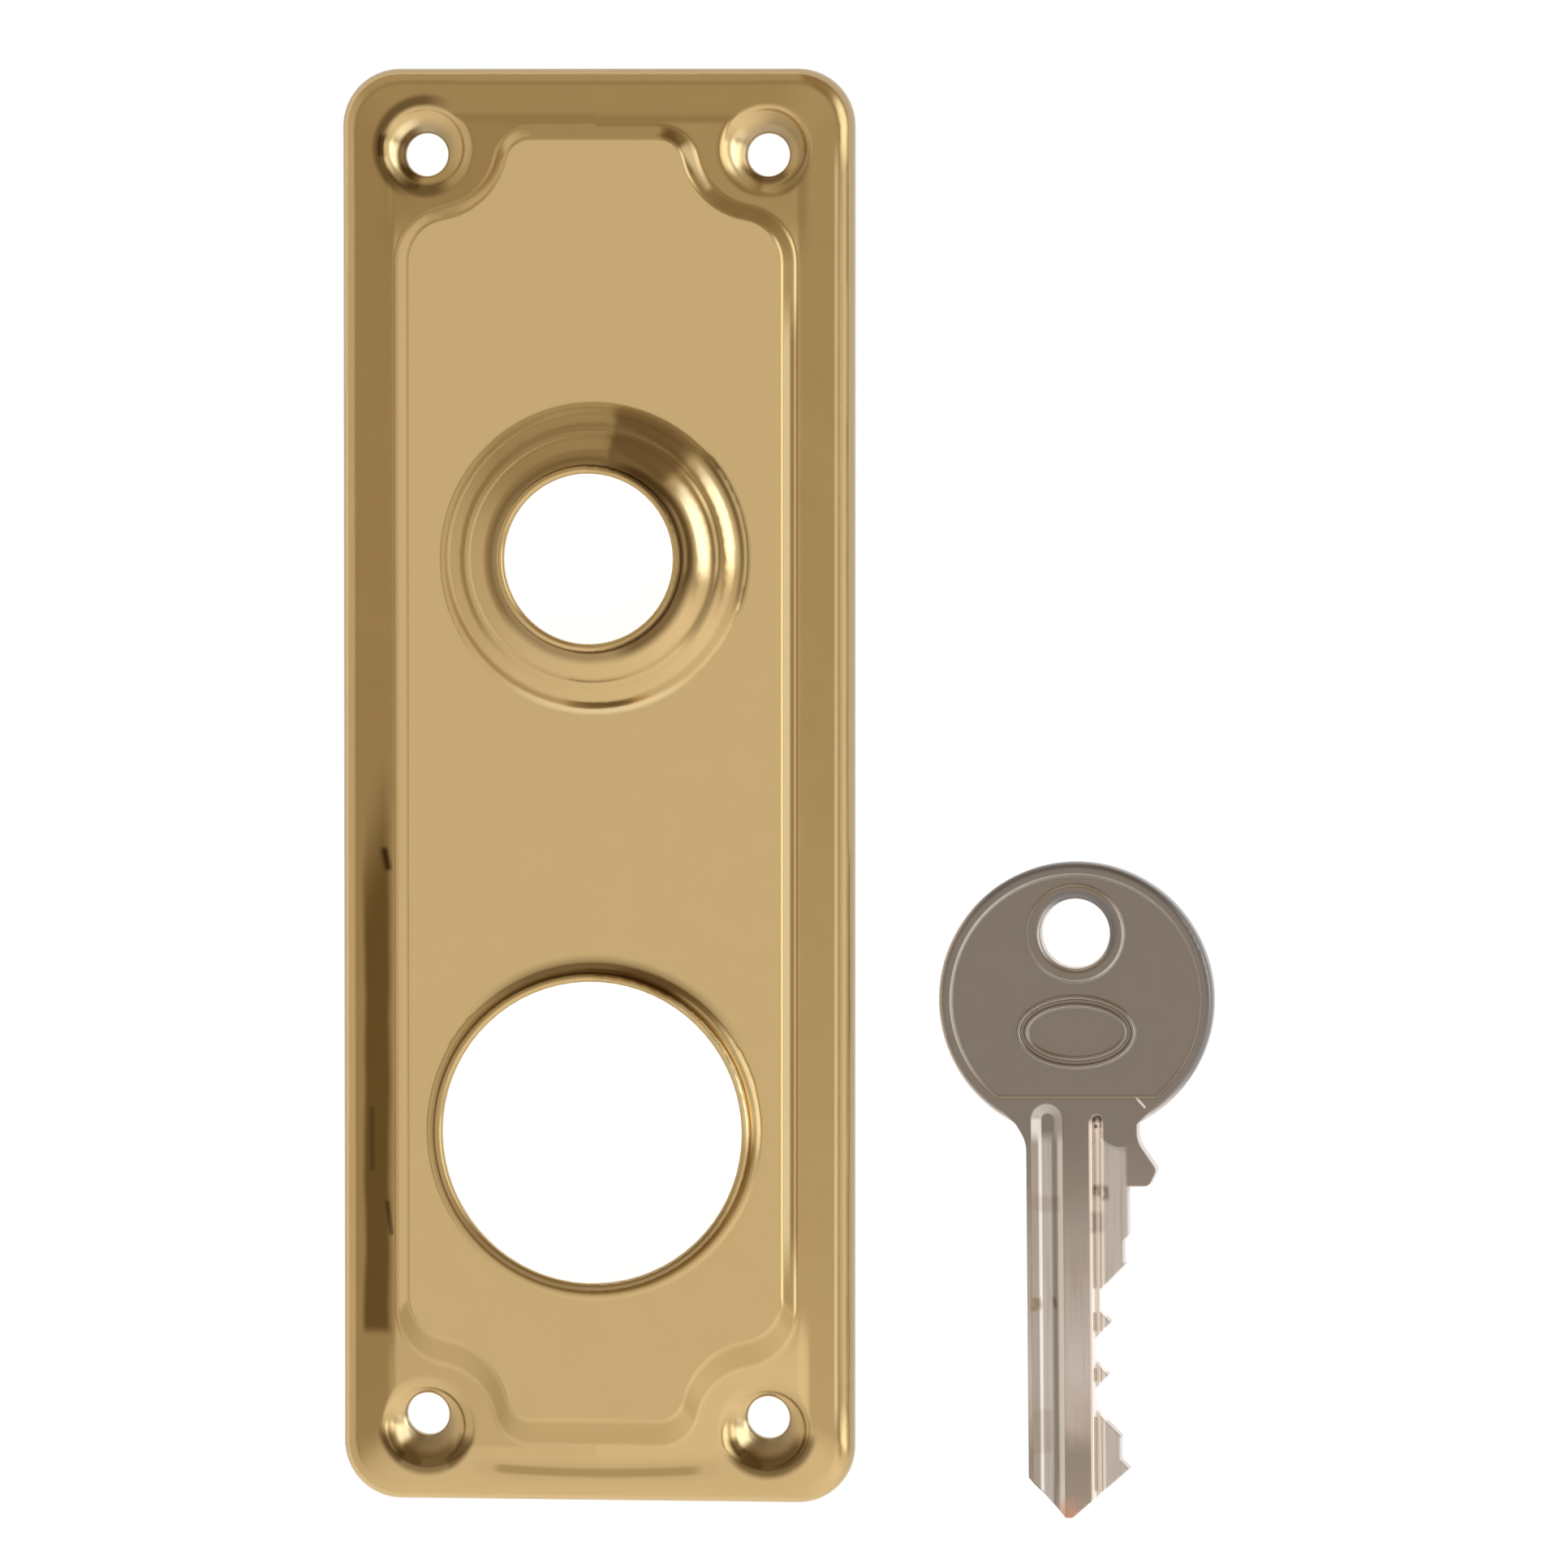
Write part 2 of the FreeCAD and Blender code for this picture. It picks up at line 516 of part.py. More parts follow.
def pressed_form(name, under):
    """The solid under the plate's front skin, or under a skin that lies below it."""
    body = new_body(name)
    inset = f"2 * {under}"
    fall_here = f"Sizes.frame_fall * (1 - {under} / Sizes.frame_band)"
    edge_height = f"Sizes.frame_height - {under} - {fall_here}"
    frame_height = f"Sizes.frame_height - {under}"
    panel_height = f"Sizes.panel_height - {under}"

    outline = (
        f"Sizes.plate_width - {inset}",
        f"Sizes.plate_length - {inset}",
        f"Sizes.plate_corner - {under}",
    )
    inner = (
        "Sizes.plate_width - 2 * Sizes.frame_band",
        "Sizes.plate_length - 2 * Sizes.frame_band",
        "Sizes.frame_corner",
    )
    ground = new_sketch(body, f"{name}_outline")
    rounded_rectangle(ground, *outline)
    pad(body, ground, f"{name}_edge", edge_height)

    low = new_sketch(body, f"{name}_band_low", lift=edge_height)
    rounded_rectangle(low, *outline)
    high = new_sketch(body, f"{name}_band_high", lift=frame_height)
    rounded_rectangle(high, *inner)
    loft(body, low, high, f"{name}_frame")
    roll = f"min(Sizes.edge_roll; {ROLL_SHARE} * (Sizes.frame_height - Sizes.frame_fall)) - {under}"
    round_edges(body, f"{name}_edge_roll", roll, lambda e: at_height(e, evaluate(edge_height)))

    # The flatter a wall lies, the less its two skins step sideways from each other.
    rise = "(Sizes.panel_height - Sizes.frame_height)"
    step = f"{under} * tan(atan({rise} / Sizes.panel_draft) / 2)"
    low_step = f"{under} * tan(atan({rise} / (Sizes.panel_draft + Sizes.lower_lean)) / 2)"
    low_shift = f"-Sizes.lower_reach - {step} + {low_step}"
    foot = new_sketch(body, f"{name}_panel_foot", lift=frame_height)
    notched_outline(foot, f"Sizes.panel_draft - {step}", low_shift)
    top = new_sketch(body, f"{name}_panel_top", lift=panel_height)
    notched_outline(top, f"-({step})", f"Sizes.lower_lean + {low_shift}")
    loft(body, foot, top, f"{name}_panel")
    if evaluate(f"Sizes.panel_shoulder - {under}") > TINY:
        round_edges(
            body,
            f"{name}_shoulder",
            f"Sizes.panel_shoulder - {under}",
            lambda e: at_height(e, evaluate(panel_height)),
        )

    def is_foot(edge):
        middle = edge.CenterOfMass
        in_width = abs(middle.x) < evaluate(inner[0]) / 2 - TINY
        in_length = abs(middle.y) < evaluate(inner[1]) / 2 - TINY
        return in_width and in_length and at_height(edge, evaluate(frame_height))

    round_edges(body, f"{name}_foot", f"Sizes.panel_foot + {under}", is_foot)

    raise_rim(body, f"{name}_collar", collar_front(), under, "Sizes.upper_hole_y", COLLAR_BENDS)
    # The cylinder rim nearly fills the panel, so its flare also stays off the panel's shoulder.
    room = f"{PANEL_HALF_WIDTH} - Sizes.panel_shoulder - Sizes.lower_hole / 2 - Sizes.sheet - {ROOM}"
    flare = f"min(Sizes.rim_flare; {room})"
    raise_rim(body, f"{name}_rim", rim_front(), under, "Sizes.lower_hole_y", ((flare, True),))

    # The sketch plane's own third direction points down the plate, so `lift` has the opposite sign to Y.
    for column, sx in (("left", "-"), ("right", "")):
        rows = (("lower", "", "-", "low_seat_shift"), ("upper", "-", "", "seat_shift"))
        for row, lift_sign, sy, shift in rows:
            place = f"{row}_{column}"
            seat_y = f"({SCREW_Y} + Sizes.{shift})"
            seat = new_sketch(
                body,
                f"{name}_seat_{place}",
                "XZ_Plane",
                x=f"{sx}{SCREW_X}",
                lift=f"{lift_sign}{seat_y}",
            )
            foot_radius, foot_height = seat_profile(seat, under)
            turn(body, seat, f"{name}_seat_cut_{place}", "PartDesign::Groove")
            bend = ring_edge(foot_radius, foot_height, evaluate(f"{sy}{seat_y}"), evaluate(f"{sx}{SCREW_X}"))
            round_edges(body, f"{name}_seat_bend_{place}", f"Sizes.seat_bend + {under}", bend)
    return body


front = pressed_form("front_skin", "0")
back = pressed_form("back_skin", "Sizes.sheet")

holes = new_sketch(front, "screw_hole_circles", lift="Sizes.panel_height")
for sx in ("-", ""):
    for sy in ("-", ""):
        circle(holes, "Sizes.screw_hole", f"{sx}{SCREW_X}", f"{sy}{SCREW_Y}")
pocket(front, holes, "screw_holes")


def is_hole_mouth(edge):
    """True for the upper edge of a screw hole, which isn't level, because the dish isn't centred on it."""
    centre = (evaluate(SCREW_X), evaluate(SCREW_Y))
    offs = [math.hypot(abs(vertex.X) - centre[0], abs(vertex.Y) - centre[1]) for vertex in edge.Vertexes]
    on_the_hole = all(abs(off - size("screw_hole") / 2) < TINY for off in offs)
    return on_the_hole and min(vertex.Z for vertex in edge.Vertexes) > TINY


round_edges(front, "hole_mouths", "Sizes.hole_roll", is_hole_mouth)

shell = doc.addObject("Part::Cut", "pressed_shell")
shell.Base = front
shell.Tool = back
doc.recompute()


# The cut edge of the sheet at the mouth of each large hole is eased on both sides.
lip_tests = []
for hole, rise in (("upper_hole", "collar_height"), ("lower_hole", "rim_height")):
    for radius in (size(hole) / 2, size(hole) / 2 + size("sheet")):
        lip_tests.append(ring_edge(radius, size("panel_height") + size(rise), size(f"{hole}_y")))

plate = doc.addObject("Part::Fillet", "escutcheon_plate")
plate.Label = "escutcheon_plate"
plate.Base = shell
lip_radius = size("rim_edge")
plate.Edges = [
    (i, lip_radius, lip_radius)
    for i, edge in enumerate(shell.Shape.Edges, start=1)
    if any(test(edge) for test in lip_tests)
]
doc.recompute()

# The key is made about the centre of its bow, with its blade pointing down the page (-Y). Its cuts are on
# the right-hand edge. It is then laid beside the plate.
key = new_body("key")

bow = new_sketch(key, "bow_disc")
circle(bow, "Sizes.bow_diameter")
pad(key, bow, "bow", "Sizes.key_thickness")
round_edges(key, "bow_rounding", "Sizes.bow_round", lambda e: isinstance(e.Curve, Part.Circle))

# Heights are negative: they are measured from the bow's centre, and the blade points down.
BOW_END = "(-Sizes.bow_diameter / 2)"
STOP = f"({BOW_END} - Sizes.stop_face)"
TIP = f"({STOP} - Sizes.blade_length)"
GROOVE_TOP = f"({BOW_END} + Sizes.groove_start)"
RING_Y = "(Sizes.bow_diameter / 2 - Sizes.bow_border - Sizes.ring_gap - Sizes.ring_boss / 2)"
OVAL_Y = f"({RING_Y} - Sizes.ring_boss / 2 - Sizes.oval_drop - Sizes.oval_height / 2)"
FIELD_END = f"({OVAL_Y} - Sizes.oval_height / 2 - Sizes.field_tail)"
HALF_BLADE = "Sizes.blade_width / 2"
# Corners of the neck, blade and stop, and the size that rounds each corner.
BLADE_CORNERS = [
    ("-Sizes.neck_width / 2", f"{BOW_END} + Sizes.neck_root", None),
    ("-Sizes.neck_narrow / 2", f"{BOW_END} + Sizes.neck_waist", None),
    (f"-{HALF_BLADE}", f"{BOW_END} - Sizes.blade_start", "neck_blend"),
    (f"-{HALF_BLADE}", f"{TIP} + Sizes.tip_slope_left", "tip_round"),
    ("-Sizes.tip_shift - Sizes.tip_flat / 2", TIP, "tip_round"),
    ("Sizes.tip_flat / 2 - Sizes.tip_shift", TIP, "tip_round"),
    (HALF_BLADE, f"{TIP} + Sizes.tip_slope_right", None),
    (HALF_BLADE, STOP, None),
    ("Sizes.stop_foot", STOP, "stop_nose"),
    ("Sizes.stop_reach", f"{STOP} + Sizes.stop_top", "stop_nose"),
    ("Sizes.neck_narrow / 2", f"{BOW_END} - Sizes.blade_start", "stop_blend"),
    ("Sizes.neck_narrow / 2", f"{BOW_END} + Sizes.neck_waist", None),
    ("Sizes.neck_width / 2", f"{BOW_END} + Sizes.neck_root", None),
]
blade_outline = new_sketch(key, "blade_outline")
polygon(blade_outline, [(x, y) for x, y, rounding in BLADE_CORNERS])
pad(key, blade_outline, "blade", "Sizes.key_thickness")


def stands_at(places):
    """A test for upright edges at some places of an outline."""

    def test(edge):
        feet = [(vertex.X, vertex.Y) for vertex in edge.Vertexes]
        return any(all(math.dist(foot, place) < TINY for foot in feet) for place in places)

    return test


for corner_size in ("neck_blend", "stop_blend", "stop_nose", "tip_round"):
    corners = [(evaluate(x), evaluate(y)) for x, y, rounding in BLADE_CORNERS if rounding == corner_size]
    round_edges(key, f"{corner_size}_corners", f"Sizes.{corner_size}", stands_at(corners))

for number in range(1, 6):
    depth = f"Sizes.cut_depth_{number}"
    middle = f"{STOP} - Sizes.first_cut - {number - 1} * Sizes.cut_pitch"
    flank = f"(Sizes.cut_flat / 2 + {depth} + {OVERRUN})"
    cut = new_sketch(key, f"cut_{number}")
    polygon(
        cut,
        [
            (f"{HALF_BLADE} - {depth}", f"{middle} + Sizes.cut_flat / 2"),
            (f"{HALF_BLADE} + {OVERRUN}", f"{middle} + {flank}"),
            (f"{HALF_BLADE} + {OVERRUN}", f"{middle} - {flank}"),
            (f"{HALF_BLADE} - {depth}", f"{middle} - Sizes.cut_flat / 2"),
        ],
    )
    pocket(key, cut, f"bitting_{number}")

ring_hole = new_sketch(key, "ring_hole_circle")
circle(ring_hole, "Sizes.ring_hole", y=RING_Y)
pocket(key, ring_hole, "ring_hole")
hole_faces = [ring_edge(size("ring_hole") / 2, z, evaluate(RING_Y)) for z in (0, size("key_thickness"))]
round_edges(key, "ring_hole_mouths", "Sizes.ring_hole_round", lambda e: any(test(e) for test in hole_faces))


def oval(sketch, inset):
    """One outline of the bow's raised oval, drawn in by an expression."""
    centre = FreeCAD.Vector(0, evaluate(OVAL_Y), 0)
    across = evaluate(f"Sizes.oval_width / 2 - {inset}")
    along = evaluate(f"Sizes.oval_height / 2 - {inset}")
    sketch.addGeometry(Part.Ellipse(centre, across, along), False)


def bow_field(name, lift, reverse):
    """Sinks the bow's field, and leaves its border, the ring round the hole and the oval's two lines."""
    field = new_sketch(key, f"{name}_outline", lift=lift)
    radius = size("bow_diameter") / 2 - size("bow_border")
    turn_in = math.asin(-evaluate(FIELD_END) / radius)
    ring = Part.Circle(FreeCAD.Vector(0, 0, 0), FreeCAD.Vector(0, 0, 1), radius)
    field.addGeometry(Part.ArcOfCircle(ring, -turn_in, math.pi + turn_in), False)
    arc = field.Geometry[0]
    field.addGeometry(Part.LineSegment(arc.EndPoint, arc.StartPoint), False)
    number = field.addConstraint(Sketcher.Constraint("Radius", 0, radius))
    field.setExpression(f"Constraints[{number}]", "Sizes.bow_diameter / 2 - Sizes.bow_border")
    circle(field, "Sizes.ring_boss", y=RING_Y)
    line = "Sizes.oval_line"
    gap = "Sizes.oval_gap"
    for inset in ("0", line, f"({line} + {gap})", f"(2 * {line} + {gap})"):
        oval(field, inset)
    pocket(key, field, name, "Sizes.bow_relief", reverse)

    face = evaluate(lift) if lift else 0.0
    border = ring_edge(radius, face, 0.0)
    raised_ring = ring_edge(size("ring_boss") / 2, face, evaluate(RING_Y))
    end = evaluate(FIELD_END)

    def is_relief(edge):
        straight_end = at_height(edge, face) and all(abs(v.Y - end) < TINY for v in edge.Vertexes)
        return border(edge) or raised_ring(edge) or (straight_end and isinstance(edge.Curve, Part.Line))

    slope_edges(key, f"{name}_slope", "Sizes.relief_slope", is_relief)

    def is_oval(edge):
        return isinstance(edge.Curve, Part.Ellipse) and at_height(edge, face)

    slope_edges(key, f"{name}_oval_slope", "Sizes.oval_slope", is_oval)


bow_field("front_field", "Sizes.key_thickness", False)
bow_field("back_field", None, True)


def groove_outline(name, middle, width, lift):
    """A groove seen from above: it runs past the tip, and its end towards the bow is round."""
    sketch = new_sketch(key, name, lift=lift)
    x = evaluate(middle)
    half = evaluate(width) / 2
    top = evaluate(GROOVE_TOP)
    low = evaluate(TIP) - OVERRUN
    left, right = x - half, x + half
    over_the_end = [FreeCAD.Vector(*place, 0) for place in ((right, top), (x, top + half), (left, top))]
    sketch.addGeometry(Part.Arc(*over_the_end), False)
    for a, b in (((left, top), (left, low)), ((left, low), (right, low)), ((right, low), (right, top))):
        sketch.addGeometry(Part.LineSegment(FreeCAD.Vector(*a, 0), FreeCAD.Vector(*b, 0)), False)
    number = sketch.addConstraint(Sketcher.Constraint("Radius", 0, half))
    sketch.setExpression(f"Constraints[{number}]", f"({width}) / 2")
    return sketch


def long_groove(name, middle, face, floor_height):
    """Cuts a groove with sloped walls, from its outline on a face of the key to its floor."""
    before = key.Shape.Volume
    profile = groove_outline(f"{name}_mouth", middle, f"Sizes.{name}_width", face)
    floor = groove_outline(f"{name}_bottom", middle, f"Sizes.{name}_floor", floor_height)
    cut = key.newObject("PartDesign::SubtractiveLoft", name)
    cut.Profile = profile
    cut.Sections = [floor]
    cut.Ruled = True
    doc.recompute()
    report_cut(name, before, key.Shape.Volume)


FACE = "Sizes.key_thickness"
long_groove("groove", "Sizes.groove_x", FACE, f"{FACE} - Sizes.groove_depth")
long_groove("ward", "Sizes.ward_x + Sizes.ward_width / 2", FACE, f"{FACE} - Sizes.ward_depth")
BACK_MIDDLE = "(Sizes.groove_x + Sizes.groove_width / 2 + Sizes.ward_x) / 2"
long_groove("back_groove", BACK_MIDDLE, None, "Sizes.back_groove_depth")

# The milled step beside the narrow groove starts in a curve, where the round cutter came off the blade.
step = new_sketch(key, "milled_step_outline", lift=FACE)
step_left = size("ward_x") + size("ward_width") / 2
step_right = size("blade_width") / 2
step_top = evaluate(GROOVE_TOP)
step_low = evaluate(TIP) - OVERRUN
run_out = size("ward_run_out")
sag = (step_right - step_left) / 4
step_corners = [
    FreeCAD.Vector(step_left, step_top, 0),
    FreeCAD.Vector(step_left, step_low, 0),
    FreeCAD.Vector(step_right, step_low, 0),
    FreeCAD.Vector(step_right, step_top - run_out, 0),
]
for a, b in zip(step_corners, step_corners[1:]):
    step.addGeometry(Part.LineSegment(a, b), False)
curve_middle = (step_corners[3] + step_corners[0]) / 2 - FreeCAD.Vector(sag, sag, 0)
step.addGeometry(Part.Arc(step_corners[3], curve_middle, step_corners[0]), False)
pocket(key, step, "milled_step", "Sizes.ward_step")

key.setExpression("Placement.Base.x", "(Sizes.plate_width + Sizes.bow_diameter) / 2 + Sizes.key_gap")
key.setExpression("Placement.Base.y", "-Sizes.key_drop")
key.setExpression("Placement.Rotation.Angle", "Sizes.key_turn")
doc.recompute()

for thing in doc.Objects:
    if "Invalid" in thing.State or "Error" in thing.State:
        raise RuntimeError(f"{thing.Name} failed: {thing.State}")

os.makedirs("parts", exist_ok=True)
for thing in (plate, key):
    solid = thing.Shape
    if solid.isNull() or not solid.isValid():
        raise RuntimeError(f"{thing.Label} has no valid shape")
    box = solid.BoundBox
    print(
        f"{thing.Label}: {len(solid.Solids)} solid, {solid.Volume:.1f} mm3,"
        f" x {box.XMin:.2f}..{box.XMax:.2f}, y {box.YMin:.2f}..{box.YMax:.2f},"
        f" z {box.ZMin:.2f}..{box.ZMax:.2f}"
    )
    solid.exportStep(f"parts/{thing.Label}.step")
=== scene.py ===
# %% [markdown]
# # A brass escutcheon plate and its key
#
# A pressed plate of polished brass covers the door where a rim lock's knob and cylinder come through.
# Its flat key lies beside it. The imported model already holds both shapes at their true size, so this
# lesson is mostly about looks: two metals that are told apart by what they mirror, and a studio for
# them to mirror.

import math

import bpy
from mathutils import Matrix, Vector

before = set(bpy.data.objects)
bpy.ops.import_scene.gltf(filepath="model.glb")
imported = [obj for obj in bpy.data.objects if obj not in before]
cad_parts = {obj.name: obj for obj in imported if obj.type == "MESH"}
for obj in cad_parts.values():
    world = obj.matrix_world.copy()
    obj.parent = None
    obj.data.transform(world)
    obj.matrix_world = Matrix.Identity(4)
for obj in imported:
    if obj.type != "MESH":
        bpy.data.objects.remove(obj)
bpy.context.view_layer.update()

# %% [markdown]
# ## The camera
#
# The photograph is taken from straight above with a long lens, a little from the right and from the
# top, so that the collar's left wall shows a sliver of its inside. The lens is worked out from how much
# of the table the picture holds, which is easier to measure than a focal length. The camera could be
# turned by angles instead, but three axes that follow from where it looks can't be mixed up.

# %% Place the camera
MM = 0.001
aim = Vector((16.21, 0.24, 0.0)) * MM
lean_right = math.radians(7.3)
lean_up = math.radians(2.6)
camera_distance = 1.3
picture_width = 136.6 * MM

toward_camera = Vector((math.tan(lean_right), math.tan(lean_up), 1.0)).normalized()
picture_right = Vector((0.0, 1.0, 0.0)).cross(toward_camera).normalized()
picture_up = toward_camera.cross(picture_right)
camera_axes = Matrix((picture_right, picture_up, toward_camera)).transposed()

camera_data = bpy.data.cameras.new("studio_camera")
camera_data.sensor_width = 36.0
camera_data.lens = camera_data.sensor_width * camera_distance / picture_width
camera = bpy.data.objects.new("studio_camera", camera_data)
camera.location = aim + toward_camera * camera_distance
camera.rotation_mode = "QUATERNION"
camera.rotation_quaternion = camera_axes.to_quaternion()
bpy.context.scene.collection.objects.link(camera)
bpy.context.scene.camera = camera
print("lens", round(camera_data.lens, 1), "mm")

# %% [markdown]
# ## A notation for shader maths
#
# A finish is a sum of small ideas: a haze here, a stain there. Written as nodes, each plus sign is a
# box on a desk. This class lets the sums be written as sums. `Wire` is one output of a node and
# `Recipe` is the desk that the nodes stand on.

# %% Write shader maths as Python sums


class Wire:
    """One node output that can be added, multiplied and compared."""

    def __init__(self, recipe, socket):
        self.recipe = recipe
        self.socket = socket

    def maths(self, operation, *values):
        return self.recipe.node("ShaderNodeMath", {"operation": operation}, list(values))

    def __add__(self, other):
        return self.maths("ADD", self, other)

    __radd__ = __add__

    def __mul__(self, other):
        return self.maths("MULTIPLY", self, other)

    __rmul__ = __mul__

    def __sub__(self, other):
        return self.maths("SUBTRACT", self, other)

    def __rsub__(self, other):
        return self.maths("SUBTRACT", other, self)

    def __truediv__(self, other):
        return self.maths("DIVIDE", self, other)

    def __neg__(self):
        return self * -1.0

    def __pow__(self, other):
        return self.maths("POWER", self, other)

    def size(self):
        return self.maths("ABSOLUTE", self)

    def sign(self):
        return self.maths("SIGN", self)

    def most(self, other):
        return self.maths("MAXIMUM", self, other)

    def ramp(self, start, end):
        """0 below start, 1 above end, and a soft S between."""
        settings = {"interpolation_type": "SMOOTHSTEP"}
        sockets = {"Value": self, "From Min": start, "From Max": end}
        return self.recipe.node("ShaderNodeMapRange", settings, sockets)

    def parts(self):
        """The three parts of a place or a direction."""
        split = self.recipe.node("ShaderNodeSeparateXYZ", sockets=[self])
        return [Wire(self.recipe, socket) for socket in split.socket.node.outputs]


class Recipe:
    """A node tree that is being written."""

    def __init__(self, tree):
        self.tree = tree
        tree.nodes.clear()

    def node(self, kind, settings=None, sockets=None, output=0):
        """One node: its type, its settings, the values or links of its sockets and the output to use."""
        made = self.tree.nodes.new(kind)
        for name, value in (settings or {}).items():
            if name == "stops":
                self.fill_ramp(made.color_ramp, value)
            else:
                setattr(made, name, value)
        named = sockets.items() if isinstance(sockets, dict) else enumerate(sockets or [])
        for name, value in named:
            if isinstance(value, Wire):
                self.tree.links.new(value.socket, made.inputs[name])
            else:
                made.inputs[name].default_value = value
        return Wire(self, made.outputs[output]) if made.outputs else None

    @staticmethod
    def fill_ramp(ramp, stops):
        while len(ramp.elements) > 1:
            ramp.elements.remove(ramp.elements[-1])
        ramp.elements[0].position, ramp.elements[0].color = stops[0]
        for place, colour in stops[1:]:
            ramp.elements.new(place).color = colour

    def noise(self, at, scale, detail):
        """A cloudy grain round 0.5: its blotches to a metre, and how many finer layers it has."""
        return self.node("ShaderNodeTexNoise", sockets={"Vector": at, "Scale": scale, "Detail": detail})

    def blend(self, mask, first, second):
        """first where the mask is 0, second where it is 1."""
        sockets = {"Factor": mask, 6: first, 7: second}
        return self.node("ShaderNodeMix", {"data_type": "RGBA"}, sockets, output=2)

    def coats(self, colour, layers):
        """Colours laid over one another in turn, each where its own mask is 1."""
        for mask, coat in layers:
            colour = self.blend(mask, colour, coat)
        return colour


print("shader notation ready")

# %% [markdown]
# ## The studio
#
# Polished metal has almost no colour of its own: it shows the room. So the room is drawn first, as a sky
# that says how bright each direction is. Two angles are enough: how far a direction tilts from straight
# up, and its bearing round the plate, which is 0 below the picture, 90 to its right, -90 to its left and
# 180 above it. A real studio could be built from lamps and cards instead, but a drawn one can put each
# soft edge exactly where the plate mirrors it.

# %% Measure directions in the room
world = bpy.data.worlds.new("studio")
bpy.context.scene.world = world
world.use_nodes = True
room = Recipe(world.node_tree)
east, north, up = room.node("ShaderNodeTexCoord", output=0).parts()
DEGREES = 180 / math.pi


def angle(across, along):
    """The angle, in degrees, whose tangent is across / along."""
    return across.maths("ARCTAN2", across, along) * DEGREES


tilt_east = angle(east, up)
tilt_north = angle(north, up)
tilt = angle((east * east + north * north) ** 0.5, up)
bearing = angle(east, -north)


def window(wire, start, full, end, gone):
    """A soft-edged opening: 0 before start, 1 from full to end, and 0 again after gone."""
    return wire.ramp(start, full) * (1.0 - wire.ramp(end, gone))


print("room measured with", len(world.node_tree.nodes), "nodes")

# %% [markdown]
# ## The skyline
#
# Low over the table the room changes with the bearing: dark furniture above the picture and to its
# upper right, pale wall below it. That is one row of stops round the horizon. Each stop is a share of
# the way round, which starts above the picture and goes by its left, its foot and its right, and a
# brightness. The row is stored at half its brightness, because a colour ramp holds nothing above 1.

# %% Draw the skyline
SKYLINE = [
    (0.00, 0.60),
    (0.14, 0.57),
    (0.20, 0.74),
    (0.25, 0.80),
    (0.32, 0.82),
    (0.40, 1.00),
    (0.50, 1.07),
    (0.58, 1.17),
    (0.64, 1.25),
    (0.70, 1.00),
    (0.75, 0.75),
    (0.79, 0.60),
    (0.86, 0.50),
    (0.93, 0.38),
    (1.00, 0.36),
]
HALF = 0.5
grey_stops = [(share, (grey * HALF, grey * HALF, grey * HALF, 1.0)) for share, grey in SKYLINE]
share_round = bearing / 360.0 + 0.5
around = room.node("ShaderNodeValToRGB", {"stops": grey_stops}, [share_round])
skyline = room.node("ShaderNodeSeparateColor", sockets=[around]) / HALF
print("skyline drawn with", len(SKYLINE), "stops")

# %% [markdown]
# ## Lamp, ceiling and window
#
# One wide lamp hangs overhead and fills the flat panel evenly. A dim ceiling surrounds it, which is
# what the sloping frame mirrors, and it darkens a little toward the walls and the right. A bright
# window stands low to the right and draws the gold crescents. The rows of four numbers are angles in
# degrees, between which each thing comes and goes, and a row of two is where one sets in.

# %% Hang the lamp and open the window
CEILING, DARKER_TO_WALLS, DARKER_TO_RIGHT = 0.63, 0.19, 0.1
LAMP_LIGHT, WINDOW_LIGHT = 0.98, 1.3
LAMP_EAST, LAMP_NORTH = (-20, -13, 0, 7), (-70, -50, 3, 10)
WINDOW_BEARING, WINDOW_TILT = (73, 83, 116, 140), (23, 31, 60, 80)
PALE_WALL_BEARING, PALE_WALL_RISE = (-72, -50, 58, 76), (6, 14)
SKYLINE_RISE, TOWARD_WALLS, TOWARD_RIGHT = (33, 45), (9, 28), (3, 9)

ceiling = CEILING - tilt.ramp(*TOWARD_WALLS) * DARKER_TO_WALLS
ceiling = ceiling - tilt_east.ramp(*TOWARD_RIGHT) * DARKER_TO_RIGHT
pale_wall = window(bearing, *PALE_WALL_BEARING) * tilt.ramp(*PALE_WALL_RISE)
low = pale_wall.most(tilt.ramp(*SKYLINE_RISE))
lamp = window(tilt_east, *LAMP_EAST) * window(tilt_north, *LAMP_NORTH)
bright_window = window(bearing, *WINDOW_BEARING) * window(tilt, *WINDOW_TILT)
indoors = (ceiling + (skyline - ceiling) * low).most(lamp * LAMP_LIGHT)
brightness = indoors + bright_window * WINDOW_LIGHT
print("room lit with", len(world.node_tree.nodes), "nodes")

# %% [markdown]
# ## The colour of the light
#
# Dim light indoors is warmer than bright light, so a last row of stops turns each brightness into a
# colour. It could be one warm lamp and one cool one, but then their colours would fall on the plate's two
# sides, and the photograph shows warm browns wherever the brass is dark.

# %% Tint the light
FULL = 2.2
TINTS = [
    (0.00, (0.00, 0.00, 0.00)),
    (0.35, (0.40, 0.32, 0.22)),
    (0.62, (0.66, 0.60, 0.50)),
    (0.95, (0.96, 0.94, 0.92)),
    (1.25, (1.26, 1.24, 1.22)),
    (2.15, (2.05, 2.16, 2.20)),
]
tint_stops = [(grey / FULL, tuple(part / FULL for part in tint) + (1.0,)) for grey, tint in TINTS]
glow = room.node("ShaderNodeValToRGB", {"stops": tint_stops}, [brightness / FULL])
sky = room.node("ShaderNodeBackground", sockets={"Color": glow, "Strength": FULL})
room.node("ShaderNodeOutputWorld", sockets={"Surface": sky})
bpy.context.scene.view_settings.view_transform = "Standard"
print("room drawn with", len(world.node_tree.nodes), "nodes")

